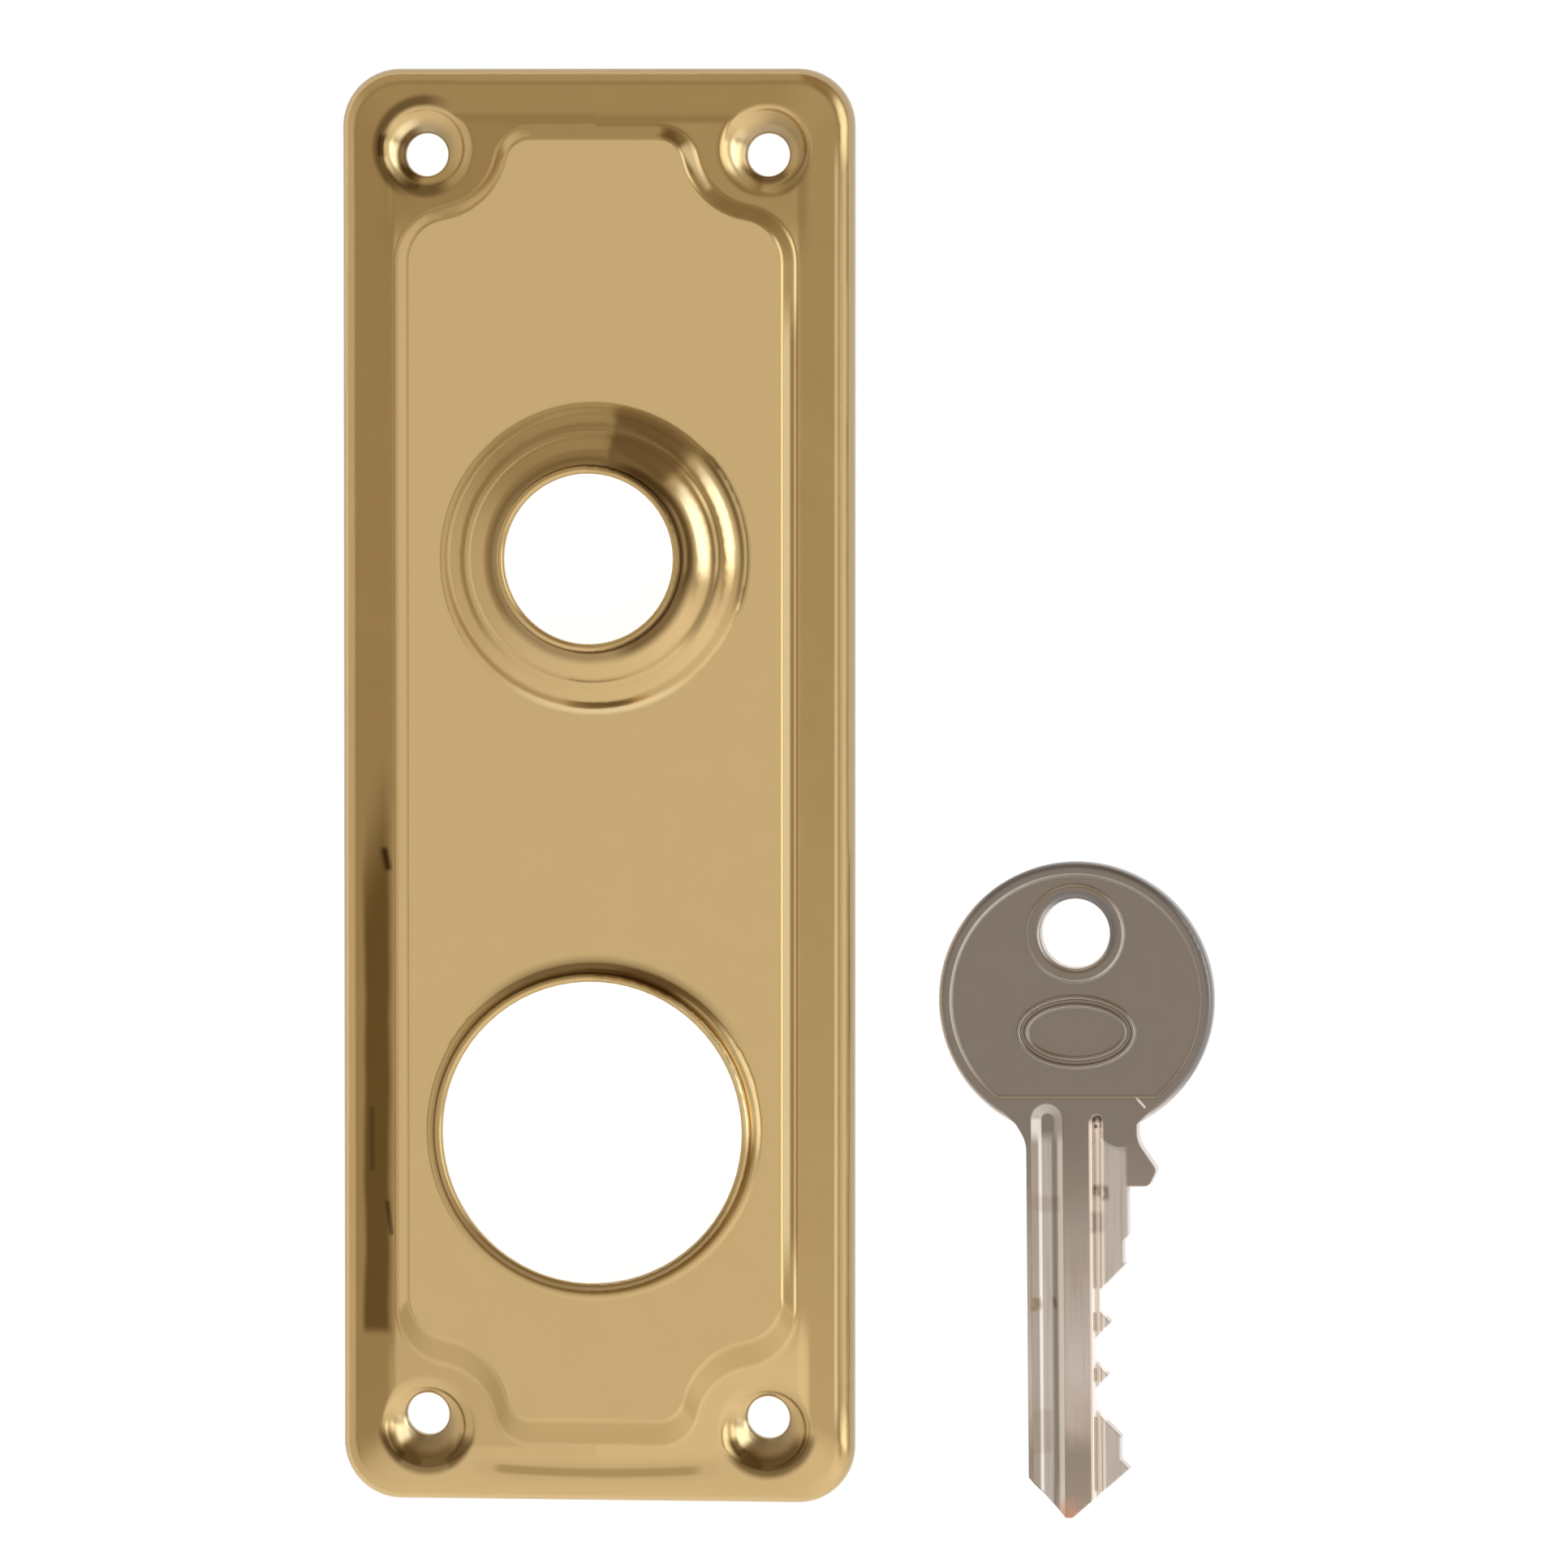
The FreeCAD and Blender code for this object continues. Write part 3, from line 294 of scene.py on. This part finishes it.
# %% [markdown]
# ## The table
#
# The real things lie on plain white. A large flat sheet stands for it. Most of its white is a light of
# its own, so it stays as white as an overexposed table and shows only the faintest shadow, and it isn't
# so bright that it burns out the edges that mirror it. It lies a hair below the plate, so that the two
# never share a plane.

# %% Lay a white table under the plate
TABLE_WIDTH = 4.0
TABLE_DROP = 0.02 * MM
for thing in bpy.context.selected_objects:
    thing.select_set(False)
bpy.ops.mesh.primitive_plane_add(size=TABLE_WIDTH, location=(0.0, 0.0, -TABLE_DROP))
table = bpy.context.object
table.name = "table"
white = bpy.data.materials.new("white_table")
white.use_nodes = True
paper = Recipe(white.node_tree)
surface = paper.node(
    "ShaderNodeBsdfPrincipled",
    sockets={
        "Base Color": (0.3, 0.3, 0.3, 1.0),
        "Roughness": 0.9,
        "Emission Color": (1.0, 1.0, 1.0, 1.0),
        "Emission Strength": 0.9,
    },
)
paper.node("ShaderNodeOutputMaterial", sockets={"Surface": surface})
table.data.materials.append(white)
print("table laid,", TABLE_WIDTH, "m wide")

# %% [markdown]
# ## What both metals share
#
# Each finish starts from a place on the object, in millimetres, so that a stain keeps its place when the
# key is lifted. Each ends as bare metal, whose colour tints what it mirrors. The steps between differ.

# %% Start and close a metal
SEEN_FROM_OBJECT = 3


def start_metal(name):
    """An empty material, its recipe, the place on the object, and that place's x, y and z in mm."""
    material = bpy.data.materials.new(name)
    material.use_nodes = True
    recipe = Recipe(material.node_tree)
    on_object = recipe.node("ShaderNodeTexCoord", output=SEEN_FROM_OBJECT)
    return material, recipe, on_object, [part / MM for part in on_object.parts()]


def close_metal(recipe, colour, roughness, normal):
    """Bare metal of a colour and a roughness, whose surface faces along normal."""
    sockets = {"Base Color": colour, "Metallic": 1.0, "Roughness": roughness, "Normal": normal}
    metal = recipe.node("ShaderNodeBsdfPrincipled", sockets=sockets)
    recipe.node("ShaderNodeOutputMaterial", sockets={"Surface": metal})


def hidden(recipe, reach):
    """How much of the room a point can't see, looking as far as reach."""
    view_out = recipe.node("ShaderNodeAmbientOcclusion", {"samples": 6}, {"Distance": reach}, output=1)
    return 1.0 - view_out


brass, mix, place, (x, y, z) = start_metal("polished_brass_finish")
print("started", brass.name)

# %% [markdown]
# ## The shape of polished brass
#
# Brass mirrors the room in yellow. On the real plate the mirror isn't perfect: polishing has softened
# every bend, the corners round the screws sag outwards a little, and the press left a faint crease across
# the lower end of the frame. The bends are softened by averaging the surface's direction over half a
# millimetre. Sag and crease are slight turns of that direction, where the frame is nearly level, and the
# panel's rim is turned back to level, because it was polished flat. All of it is less than a tenth of a
# millimetre deep, so it is made here and not in the metal. From here on, the rows of four numbers are
# millimetres on the object.

# %% Bend the mirror
SOFTENING = 0.5 * MM
softened = mix.node("ShaderNodeBevel", {"samples": 8}, {"Radius": SOFTENING})
lean_x, lean_y, level = softened.parts()
steepness = 1.0 - level

PANEL_SKIN = (3.3, 3.4, 3.6, 3.8)
polished_flat = (1.0 - steepness.ramp(0.01, 0.07)) * window(z, *PANEL_SKIN)
kept = 1.0 - polished_flat

FRAME_HEIGHT = 2.4
SAG = 0.1
at_ends = y.size().ramp(45.0, 51.0)
sag = (1.0 - (z - FRAME_HEIGHT).size().ramp(0.02, 0.16)) * at_ends * SAG

CREASE = 0.25
CREASE_BOW = 0.004
CREASE_LINE = (-61.2, -60.1, -59.8, -58.7)
CREASE_END = (8.0, 12.5)
crease = window(y - x * x * CREASE_BOW, *CREASE_LINE) * (1.0 - x.size().ramp(*CREASE_END)) * CREASE

turn_x = lean_x * kept + x.sign() * sag
turn_y = lean_y * kept + y.sign() * sag + crease
bent = mix.node("ShaderNodeCombineXYZ", sockets=[turn_x, turn_y, level])
facing = mix.node("ShaderNodeVectorMath", {"operation": "NORMALIZE"}, [bent])
print("mirror bent with", len(brass.node_tree.nodes), "nodes")

# %% [markdown]
# ## Where shade is painted on the brass
#
# Painted shade darkens the brass in a few places: the foot of every wall and the steep walls themselves,
# the turned-down edge, weaker toward the bottom, and one long streak down the left of the frame, which is
# a painted reflection of something dark. The feet are found by asking how much of the room a point sees,
# the walls by their height and how steep they are, and the edge and the streak by their place. A noise
# makes the streak's sides ragged.

# %% Find where shade is painted
FEELER = 1.6 * MM
# Painted shade in the recesses, where a point sees little of the room.
brass_recess_shade = hidden(mix, FEELER).ramp(0.12, 0.75)

# Painted shade on the turned-down edge, weaker toward the bottom; the edge is also made rougher.
toward_bottom = (-y).ramp(57.0, 61.5)
shaded_turned_edge = (1.0 - z.ramp(1.2, 1.65)) * (1.0 - toward_bottom * 0.8)
# Painted shade on the panel's walls and on the steep walls of the collar and the rim.
PANEL_WALL = (2.42, 2.6, 3.2, 3.45)
panel_wall = window(z, *PANEL_WALL)
steep_wall_shade = steepness.ramp(0.16, 0.28) * z.ramp(3.5, 3.7)

# A painted reflection of something dark: a long dark streak down the left of the frame.
STREAK_SIDES = (-20.8, -20.2, -18.6, -17.9)
STREAK_MIDDLE, STREAK_TOP, STREAK_POINT, STREAK_FADE = -18.9, 4.5, 3.0, 14.0
STREAK_BOTTOM = (47.2, 48.3)
RAGGEDNESS = 0.9
ragged = mix.noise(place, 90.0, 2.0)
streak_x = x + (ragged - 0.5) * RAGGEDNESS
streak_start = STREAK_TOP - (streak_x - STREAK_MIDDLE).size() * STREAK_POINT
streak_along = (streak_start - y).ramp(0.0, STREAK_FADE) * (1.0 - (-y).ramp(*STREAK_BOTTOM))
painted_streak = window(streak_x, *STREAK_SIDES) * streak_along
print("dark places found with", len(brass.node_tree.nodes), "nodes")

# %% [markdown]
# ## Small dark marks
#
# Three small dark marks lie on the left of the frame. Each is a row: its middle, how far it is turned,
# half its width, half its length, how soft its edge is, and how strong it is. They could be painted on an
# image, but a few rows are easier to move.

# %% Place the marks on the frame


def mark(middle, turned, half_across, half_along, soft, wobble=0.0):
    """A soft-edged oblong round a middle, standing upright and then turned anticlockwise."""
    right, ahead = math.cos(math.radians(turned)), math.sin(math.radians(turned))
    across = (x - middle[0]) * right + (y - middle[1]) * ahead + wobble
    along = (y - middle[1]) * right - (x - middle[0]) * ahead + wobble
    seen_across = 1.0 - across.size().ramp(half_across - soft, half_across + soft)
    return seen_across * (1.0 - along.size().ramp(half_along - soft, half_along + soft))


def strongest(draw, rows):
    """Each row drawn at its strength, which comes last in it, and the strongest kept at each point."""
    kept_so_far = x * 0.0
    for *shape, strength in rows:
        kept_so_far = kept_so_far.most(draw(*shape) * strength)
    return kept_so_far


SPOTS = [
    ((-18.50, -6.4), 12.0, 0.30, 1.0, 0.28, 1.00),
    ((-18.25, -37.8), 8.0, 0.20, 1.5, 0.15, 0.70),
    ((-19.80, -30.9), 0.0, 0.22, 2.8, 0.15, 0.45),
]
spots = strongest(mark, SPOTS)
print(len(SPOTS), "marks placed")

# %% [markdown]
# ## Crescents round the holes
#
# Each screw dish, the collar and the cylinder's rim carry painted shade in soft dark crescents and
# painted highlights in bright crescents beside them, where their curves mirror dark and bright parts of
# the
# room. Each is written as one row: its middle, the four radii between which it comes and goes, the bearing
# of its thickest place with 0 to the right and 90 up, how far round it is full, how far round it has gone,
# and how strong it is. A fainter ring of painted shade runs right round the collar and the rim.

# %% Draw the crescents
LOW_LEFT, LOW_RIGHT = (-15.0, -56.0), (15.0, -56.0)
UP_LEFT, UP_LEFT_HOLE, UP_RIGHT_HOLE = (-15.0, 55.6), (-15.0, 55.0), (15.0, 55.0)
COLLAR, RIM = (0.0, 20.0), (0.0, -30.0)
# Painted shade in dark rings and crescents, painted highlights in bright crescents.
DARK_RINGS = [
    (COLLAR, (7.9, 8.2, 8.6, 9.4), 0.50),
    (RIM, (13.6, 13.8, 14.1, 14.7), 0.40),
]
DARK_CRESCENTS = [
    (LOW_LEFT, (1.8, 2.9, 3.9, 4.6), 270, 40, 78, 0.70),
    (LOW_LEFT, (2.5, 3.2, 3.9, 4.5), 214, 12, 36, 0.92),
    (LOW_LEFT, (2.5, 3.3, 4.0, 4.6), 318, 12, 36, 0.85),
    (LOW_RIGHT, (1.8, 2.9, 3.9, 4.6), 280, 45, 80, 0.82),
    (LOW_RIGHT, (2.4, 2.8, 3.3, 3.9), 213, 7, 24, 0.97),
    (LOW_RIGHT, (2.7, 3.4, 4.0, 4.6), 325, 12, 34, 0.80),
    (UP_LEFT, (3.4, 3.9, 4.3, 4.9), 158, 60, 105, 0.70),
    (UP_LEFT, (3.3, 3.8, 4.1, 4.6), 177, 9, 24, 0.99),
    (UP_LEFT, (2.9, 3.4, 3.9, 4.5), 250, 30, 62, 0.75),
    (UP_LEFT_HOLE, (1.8, 2.0, 2.4, 2.9), 180, 50, 88, 0.90),
    (UP_RIGHT_HOLE, (1.8, 2.0, 2.3, 2.8), 270, 30, 60, 0.70),
    (UP_RIGHT_HOLE, (2.4, 2.9, 3.5, 4.1), 10, 60, 100, 0.40),
    (COLLAR, (7.7, 8.0, 8.6, 9.5), 0, 60, 95, 0.88),
    (COLLAR, (7.8, 8.4, 12.4, 13.6), 63, 15, 20, 0.52),
    (COLLAR, (12.7, 13.1, 13.4, 13.9), 12, 22, 36, 0.65),
    (COLLAR, (10.4, 10.8, 11.0, 11.5), -8, 20, 40, 0.60),
    (COLLAR, (8.4, 9.0, 11.6, 13.4), 112, 22, 60, 0.18),
    (RIM, (13.5, 13.9, 14.5, 15.6), 84, 22, 58, 0.65),
    (RIM, (13.1, 13.5, 13.9, 14.5), 270, 45, 80, 0.60),
]
BRIGHT_CRESCENTS = [
    (LOW_LEFT, (1.6, 2.0, 2.6, 3.0), 189, 14, 34, 0.80),
    (LOW_RIGHT, (1.6, 2.0, 2.6, 3.0), 189, 14, 34, 0.85),
    (UP_LEFT_HOLE, (2.4, 2.8, 3.1, 3.5), 168, 35, 75, 0.60),
    (UP_RIGHT_HOLE, (2.2, 2.7, 3.1, 3.6), 195, 35, 65, 0.70),
    (COLLAR, (8.9, 9.4, 10.0, 10.6), 18, 14, 32, 0.85),
    (COLLAR, (11.5, 11.9, 12.5, 13.0), 22, 14, 30, 0.75),
    (COLLAR, (12.9, 13.2, 13.5, 13.8), 272, 16, 40, 0.35),
    (RIM, (13.2, 13.5, 14.0, 14.4), 28, 20, 36, 0.85),
]


def from_middle(middle):
    """How far a point lies from a middle: to the right, upwards, and in a straight line."""
    across, along = x - middle[0], y - middle[1]
    return across, along, (across * across + along * along) ** 0.5


def ring(middle, radii):
    """A soft ring round a middle."""
    away = from_middle(middle)[2]
    return window(away, *radii)


def crescent(middle, radii, bearing, full, gone):
    """The part of a ring round one bearing, thinning out to both sides."""
    across, along, away = from_middle(middle)
    right, ahead = math.cos(math.radians(bearing)), math.sin(math.radians(bearing))
    toward = (across * right + along * ahead) / away
    ends = math.cos(math.radians(gone)), math.cos(math.radians(full))
    return window(away, *radii) * toward.ramp(*ends)


# Painted shade and painted highlights round the holes.
painted_shade = strongest(ring, DARK_RINGS).most(strongest(crescent, DARK_CRESCENTS))
painted_highlight = strongest(crescent, BRIGHT_CRESCENTS)
print(len(DARK_CRESCENTS + BRIGHT_CRESCENTS), "crescents drawn with", len(brass.node_tree.nodes), "nodes")

# %% [markdown]
# ## Lines down the right side
#
# Down the right, painted highlights lie on the panel's brow and on the bend of the outer edge, and painted
# shade on the wall's foot and on the edge below its bend. At the scooped corner on the upper right, a
# brown patch of painted shade and a gold one of painted highlight lie side by side on the wall. The bends
# alone mirror a little of this. The painted lines make it plainer, as on the real plate, and they fade out
# before the corners.

# %% Draw the lines down the right side
WALL_FOOT, WALL_BROW = (17.1, 17.25, 17.6, 17.8), (16.55, 16.7, 17.0, 17.15)
EDGE_BEND, EDGE_FOOT = (20.82, 20.95, 21.15, 21.3), (21.3, 21.45, 21.9, 22.15)
WALL_END, EDGE_END = (38.0, 44.0), (53.0, 57.0)
BROW_SHINE, BEND_SHINE, FOOT_SHADE = 0.7, 0.9, 0.3

beside_panel = 1.0 - y.size().ramp(*WALL_END)
# Painted shade at the wall's foot and a painted highlight on the panel's brow.
wall_foot_shade = window(x, *WALL_FOOT) * beside_panel
painted_shade = painted_shade.most(wall_foot_shade * FOOT_SHADE)
painted_highlight = painted_highlight.most(window(x, *WALL_BROW) * beside_panel * BROW_SHINE)

beside_frame = 1.0 - y.size().ramp(*EDGE_END)
# A painted highlight on the outer edge's bend and painted shade below it.
painted_highlight = painted_highlight.most(window(x, *EDGE_BEND) * beside_frame * BEND_SHINE)
edge_foot_shade = window(x, *EDGE_FOOT) * beside_frame

# Painted shade and a painted highlight side by side at the scooped corner.
scoop_shade = mark((7.3, 55.1), 38.0, 0.9, 2.2, 0.5) * panel_wall
painted_highlight = painted_highlight.most(mark((9.0, 54.0), 33.0, 0.45, 2.2, 0.3) * panel_wall)
print("lines drawn with", len(brass.node_tree.nodes), "nodes")

# %% [markdown]
# ## The colour of polished brass
#
# The lacquer is a touch cloudy in patches and the sheet is very slightly wavy from the press. Both are
# noise. The painted shade, the painted highlights and the dark marks are laid over the clouds as coats,
# the faintest painted shade first and the strongest marks last, each in its own brown or gold.

# %% Mix the brass
clouds = mix.noise(place, 260.0, 4.0)
specks = mix.noise(place, 2200.0, 2.0)
waves = mix.noise(place, 60.0, 1.0)

cloudiness = (clouds - 0.5) * 0.5 + 0.5
polished = mix.blend(cloudiness, (0.560, 0.396, 0.182, 1.0), (0.615, 0.445, 0.213, 1.0))
# Painted shade on the walls and at the wall's foot down the right.
brass_wall_shade = (panel_wall * 0.5).most(steep_wall_shade * 0.45).most(wall_foot_shade)
# Coats of painted shade on walls, recesses, the turned-down edge, the edge's foot, the streak, the
# crescents and the scoop; a gold painted highlight; dark spots last.
brass_coats = [
    (brass_wall_shade, (0.40, 0.27, 0.11, 1.0)),
    (brass_recess_shade * 0.75, (0.34, 0.19, 0.062, 1.0)),
    (shaded_turned_edge, (0.40, 0.30, 0.17, 1.0)),
    (edge_foot_shade * 0.8, (0.25, 0.17, 0.075, 1.0)),
    (painted_streak * 0.93, (0.205, 0.130, 0.040, 1.0)),
    (painted_shade, (0.105, 0.058, 0.018, 1.0)),
    (scoop_shade * 0.75, (0.20, 0.12, 0.035, 1.0)),
    (painted_highlight, (0.95, 0.78, 0.46, 1.0)),
    (spots * 0.9, (0.050, 0.022, 0.008, 1.0)),
]
brass_colour = mix.coats(polished, brass_coats)
brass_roughness = 0.12 + clouds * 0.05 + specks * 0.02 + brass_recess_shade * 0.1 + shaded_turned_edge * 0.08

WAVE_DEPTH = 0.1 * MM
height = waves * 0.9 + specks * 0.02
relief = {"Strength": 0.1, "Distance": WAVE_DEPTH, "Height": height, "Normal": facing}
wavy = mix.node("ShaderNodeBump", sockets=relief)
close_metal(mix, brass_colour, brass_roughness, wavy)

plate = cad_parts["escutcheon_plate"]
plate.material_slots[0].material = brass
print("brass on", plate.name, "in", len(brass_coats), "coats")

# %% [markdown]
# ## Worn nickel: edges, floors and feet
#
# The key is nickel-plated brass that has been carried about. Its flat faces are darker, partly from a dull
# film and partly from painted shade. Every slope and edge is rubbed bright, the milled floors of the
# grooves are paler than the faces, and painted shade lies at the feet of the walls. So the finish starts
# by asking
# three questions of a point: does it slope, is it sunken, and how much of the room does it see. From here
# on, mix, x, y and z are the key's.

# %% Sort the key's surfaces
nickel, mix, place, (x, y, z) = start_metal("worn_nickel_finish")

ROUNDING = 0.2 * MM
rounded = mix.node("ShaderNodeBevel", {"samples": 8}, {"Radius": ROUNDING})
facing_up = rounded.parts()[2]
rubbed = (1.0 - facing_up.size()).ramp(0.02, 0.26)

KEY_FACE = 2.3
sunken = (KEY_FACE - z).ramp(0.3, 0.38) * z.ramp(0.1, 0.2)

# Painted shade in the key's recesses, where a point sees little of the room.
KEY_FEELER = 1.0 * MM
key_recess_shade = hidden(mix, KEY_FEELER).ramp(0.2, 0.7)
print("key sorted with", len(nickel.node_tree.nodes), "nodes")

# %% [markdown]
# ## Along the blade and round the bow
#
# The blade's grooves run its whole length, so their lines are written once, as distances from the blade's
# middle. The key lies half a degree turned, which moves that middle a little as it goes down. The wide
# groove has painted shade on the wall on its left, a thin line of painted shade at its right foot and a
# painted highlight on its right brow. The narrow groove carries a painted highlight, with painted shade
# down its middle. Round the bow and inside its ring hole, the rounded edges to the upper right carry the
# key's darkest painted shade.

# %% Follow the blade and the bow
BOW, RING_HOLE = (42.0, -18.3), (42.0, -12.5)
KEY_TURN = math.radians(0.5)
LEFT_WALL = (-4.1, -3.95, -3.45, -3.25)
RIGHT_FOOT, RIGHT_BROW = (-2.35, -2.2, -1.85, -1.7), (-1.75, -1.6, -1.3, -1.15)
NARROW_GROOVE, NARROW_SHADE = (1.02, 1.12, 2.25, 2.4), (1.4, 1.52, 1.68, 1.8)

across_blade = x - BOW[0] + (y - BOW[1]) * KEY_TURN
on_blade = (-y).ramp(29.5, 31.0)
# Painted shade on the wide groove's left wall and right foot; painted highlights on its right brow and in
# the narrow groove, with painted shade down the narrow groove's middle.
left_wall_shade = window(across_blade, *LEFT_WALL) * on_blade
right_foot_shade = window(across_blade, *RIGHT_FOOT) * on_blade
right_brow_highlight = window(across_blade, *RIGHT_BROW) * on_blade
narrow_highlight = window(across_blade, *NARROW_GROOVE) * (-y).ramp(28.5, 29.2)
narrow_shade = window(across_blade, *NARROW_SHADE) * on_blade

# Painted shade on the rounded edges of the bow and its ring hole to the upper right.
DARK_EDGES = [
    (BOW, (11.2, 11.65, 12.5, 13.0), 48, 75, 105, 1.0),
    (RING_HOLE, (2.6, 2.9, 3.5, 3.9), 50, 60, 105, 1.0),
]
bow_edge_shade = strongest(crescent, DARK_EDGES)
print("lines drawn with", len(nickel.node_tree.nodes), "nodes")

# %% [markdown]
# ## Stains and marks
#
# Small brown stains lie where the lock's pins rubbed, a short bright nick crosses the border of the bow,
# and the plating has worn through to warm metal at the tip. Each is placed one by one. A stain's row gives
# its middle, half its width, half its height and its strength, and a noise makes its outline ragged.

# %% Place the key's stains and marks
STAINS = [
    ((38.62, -44.75), 0.33, 0.58, 0.75),
    ((40.16, -44.70), 0.22, 0.52, 0.75),
    ((43.83, -34.95), 0.18, 0.55, 0.80),
    ((44.62, -35.05), 0.28, 0.60, 0.75),
    ((39.40, -36.00), 1.30, 0.70, 0.20),
    ((39.20, -55.90), 0.80, 1.90, 0.20),
    ((43.90, -37.60), 0.60, 0.90, 0.25),
]
STAIN_SOFTNESS = 0.24
ragged = mix.noise(place, 900.0, 3.0)
wobble = (ragged - 0.5) * 0.7


def stain(middle, half_across, half_along):
    """An upright mark with a ragged outline."""
    return mark(middle, 0.0, half_across, half_along, STAIN_SOFTNESS, wobble)


stained = strongest(stain, STAINS) * (0.55 + ragged * 0.8)
nick = mark((47.7, -27.15), 42.0, 0.09, 0.62, 0.06) * z.ramp(1.9, 2.0)
speck = mark((43.75, -29.3), 0.0, 0.12, 0.16, 0.06)

TIP = (41.4, -63.4)
from_tip = from_middle(TIP)[2]
bare_tip = 1.0 - (from_tip + (ragged - 0.5) * 1.2).ramp(0.5, 2.2)
print("marks placed with", len(nickel.node_tree.nodes), "nodes")

# %% [markdown]
# ## The grain of worn nickel
#
# The faces are darker than the rubbed metal, partly from a dull film and partly from painted shade. One
# row of stops goes from the blade's top to its tip: darkest on the bow and the top of the blade, lightest
# a little past halfway down, and darker again toward the tip. Fine scratches run every way on the bow and
# along the blade in the grooves, because the cutters went that way: the same noise, stretched.

# %% Lay the film, the painted shade and the scratches
# Darker faces: partly a dull film, partly painted shade.
FILM_AND_SHADE = [
    (0.00, (0.262, 0.222, 0.190, 1.0)),
    (0.12, (0.325, 0.262, 0.225, 1.0)),
    (0.22, (0.393, 0.331, 0.290, 1.0)),
    (0.35, (0.487, 0.410, 0.362, 1.0)),
    (0.47, (0.556, 0.481, 0.438, 1.0)),
    (0.60, (0.629, 0.555, 0.515, 1.0)),
    (0.72, (0.564, 0.467, 0.408, 1.0)),
    (0.83, (0.345, 0.285, 0.246, 1.0)),
    (0.93, (0.390, 0.318, 0.268, 1.0)),
    (1.00, (0.430, 0.350, 0.290, 1.0)),
]
BLADE_TOP, BLADE_RUN = -30.0, 34.0
clouds = mix.noise(place, 350.0, 4.0)
down_the_blade = (y - BLADE_TOP) / -BLADE_RUN + (clouds - 0.5) * 0.12
face_film_and_shade = mix.node("ShaderNodeValToRGB", {"stops": FILM_AND_SHADE}, [down_the_blade])

down_blade = {"Vector": place, "Scale": (1.0, 0.03, 1.0)}
aslant = {"Vector": place, "Rotation": (0.0, 0.0, 0.7), "Scale": (0.05, 1.0, 1.0)}
stretched_down = mix.node("ShaderNodeMapping", {"vector_type": "POINT"}, down_blade)
stretched_aslant = mix.node("ShaderNodeMapping", {"vector_type": "POINT"}, aslant)
streaks = mix.noise(stretched_down, 3500.0, 3.0)
scratches = mix.noise(stretched_aslant, 2600.0, 2.0)
print("film laid in", len(FILM_AND_SHADE), "stops")

# %% [markdown]
# ## The colour of worn nickel
#
# As with the brass, each kind of wear, painted shade and painted highlight is a coat over the last: first
# the milled floors and their streaks, then the painted shade on the left wall, the rubbed slopes, the nick
# and the painted highlights, then painted shade on the bow's edges, in the recesses and at the feet, the
# stains and the speck, and the bare tip on top.

# %% Mix the nickel
# The nick with painted highlights; then painted shade from the recesses, the right foot and the narrow
# groove's middle.
nick_and_highlight = nick.most(right_brow_highlight * 0.7).most(narrow_highlight)
worn = rubbed * (1.0 - left_wall_shade)
painted_key_shade = (key_recess_shade * 0.75 * (1.0 - narrow_highlight)).most(right_foot_shade * 0.45).most(narrow_shade * 0.3)
nickel_coats = [
    (sunken * on_blade * 0.85, (0.610, 0.550, 0.500, 1.0)),
    (streaks.ramp(0.5, 0.75) * on_blade * 0.4, (0.330, 0.270, 0.225, 1.0)),
    (left_wall_shade * 0.92, (0.245, 0.195, 0.155, 1.0)),
    (worn, (0.600, 0.540, 0.482, 1.0)),
    (nick_and_highlight, (0.880, 0.790, 0.710, 1.0)),
    (bow_edge_shade * 0.9, (0.205, 0.190, 0.188, 1.0)),
    (painted_key_shade, (0.115, 0.080, 0.055, 1.0)),
    (stained, (0.150, 0.100, 0.045, 1.0)),
    (speck * 0.8, (0.030, 0.020, 0.015, 1.0)),
    (bare_tip * 0.7, (0.660, 0.340, 0.250, 1.0)),
]
nickel_colour = mix.coats(face_film_and_shade, nickel_coats)
nickel_roughness = 0.27 + clouds * 0.08 + streaks * 0.05 - rubbed * 0.06

SCRATCH_DEPTH = 0.05 * MM
height = clouds * 0.3 + scratches * 0.25 + streaks * on_blade * 0.3
relief = {"Strength": 0.25, "Distance": SCRATCH_DEPTH, "Height": height, "Normal": rounded}
scratched = mix.node("ShaderNodeBump", sockets=relief)
close_metal(mix, nickel_colour, nickel_roughness, scratched)

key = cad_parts["key"]
key.material_slots[0].material = nickel
print("nickel on", key.name, "in", len(nickel_coats), "coats")
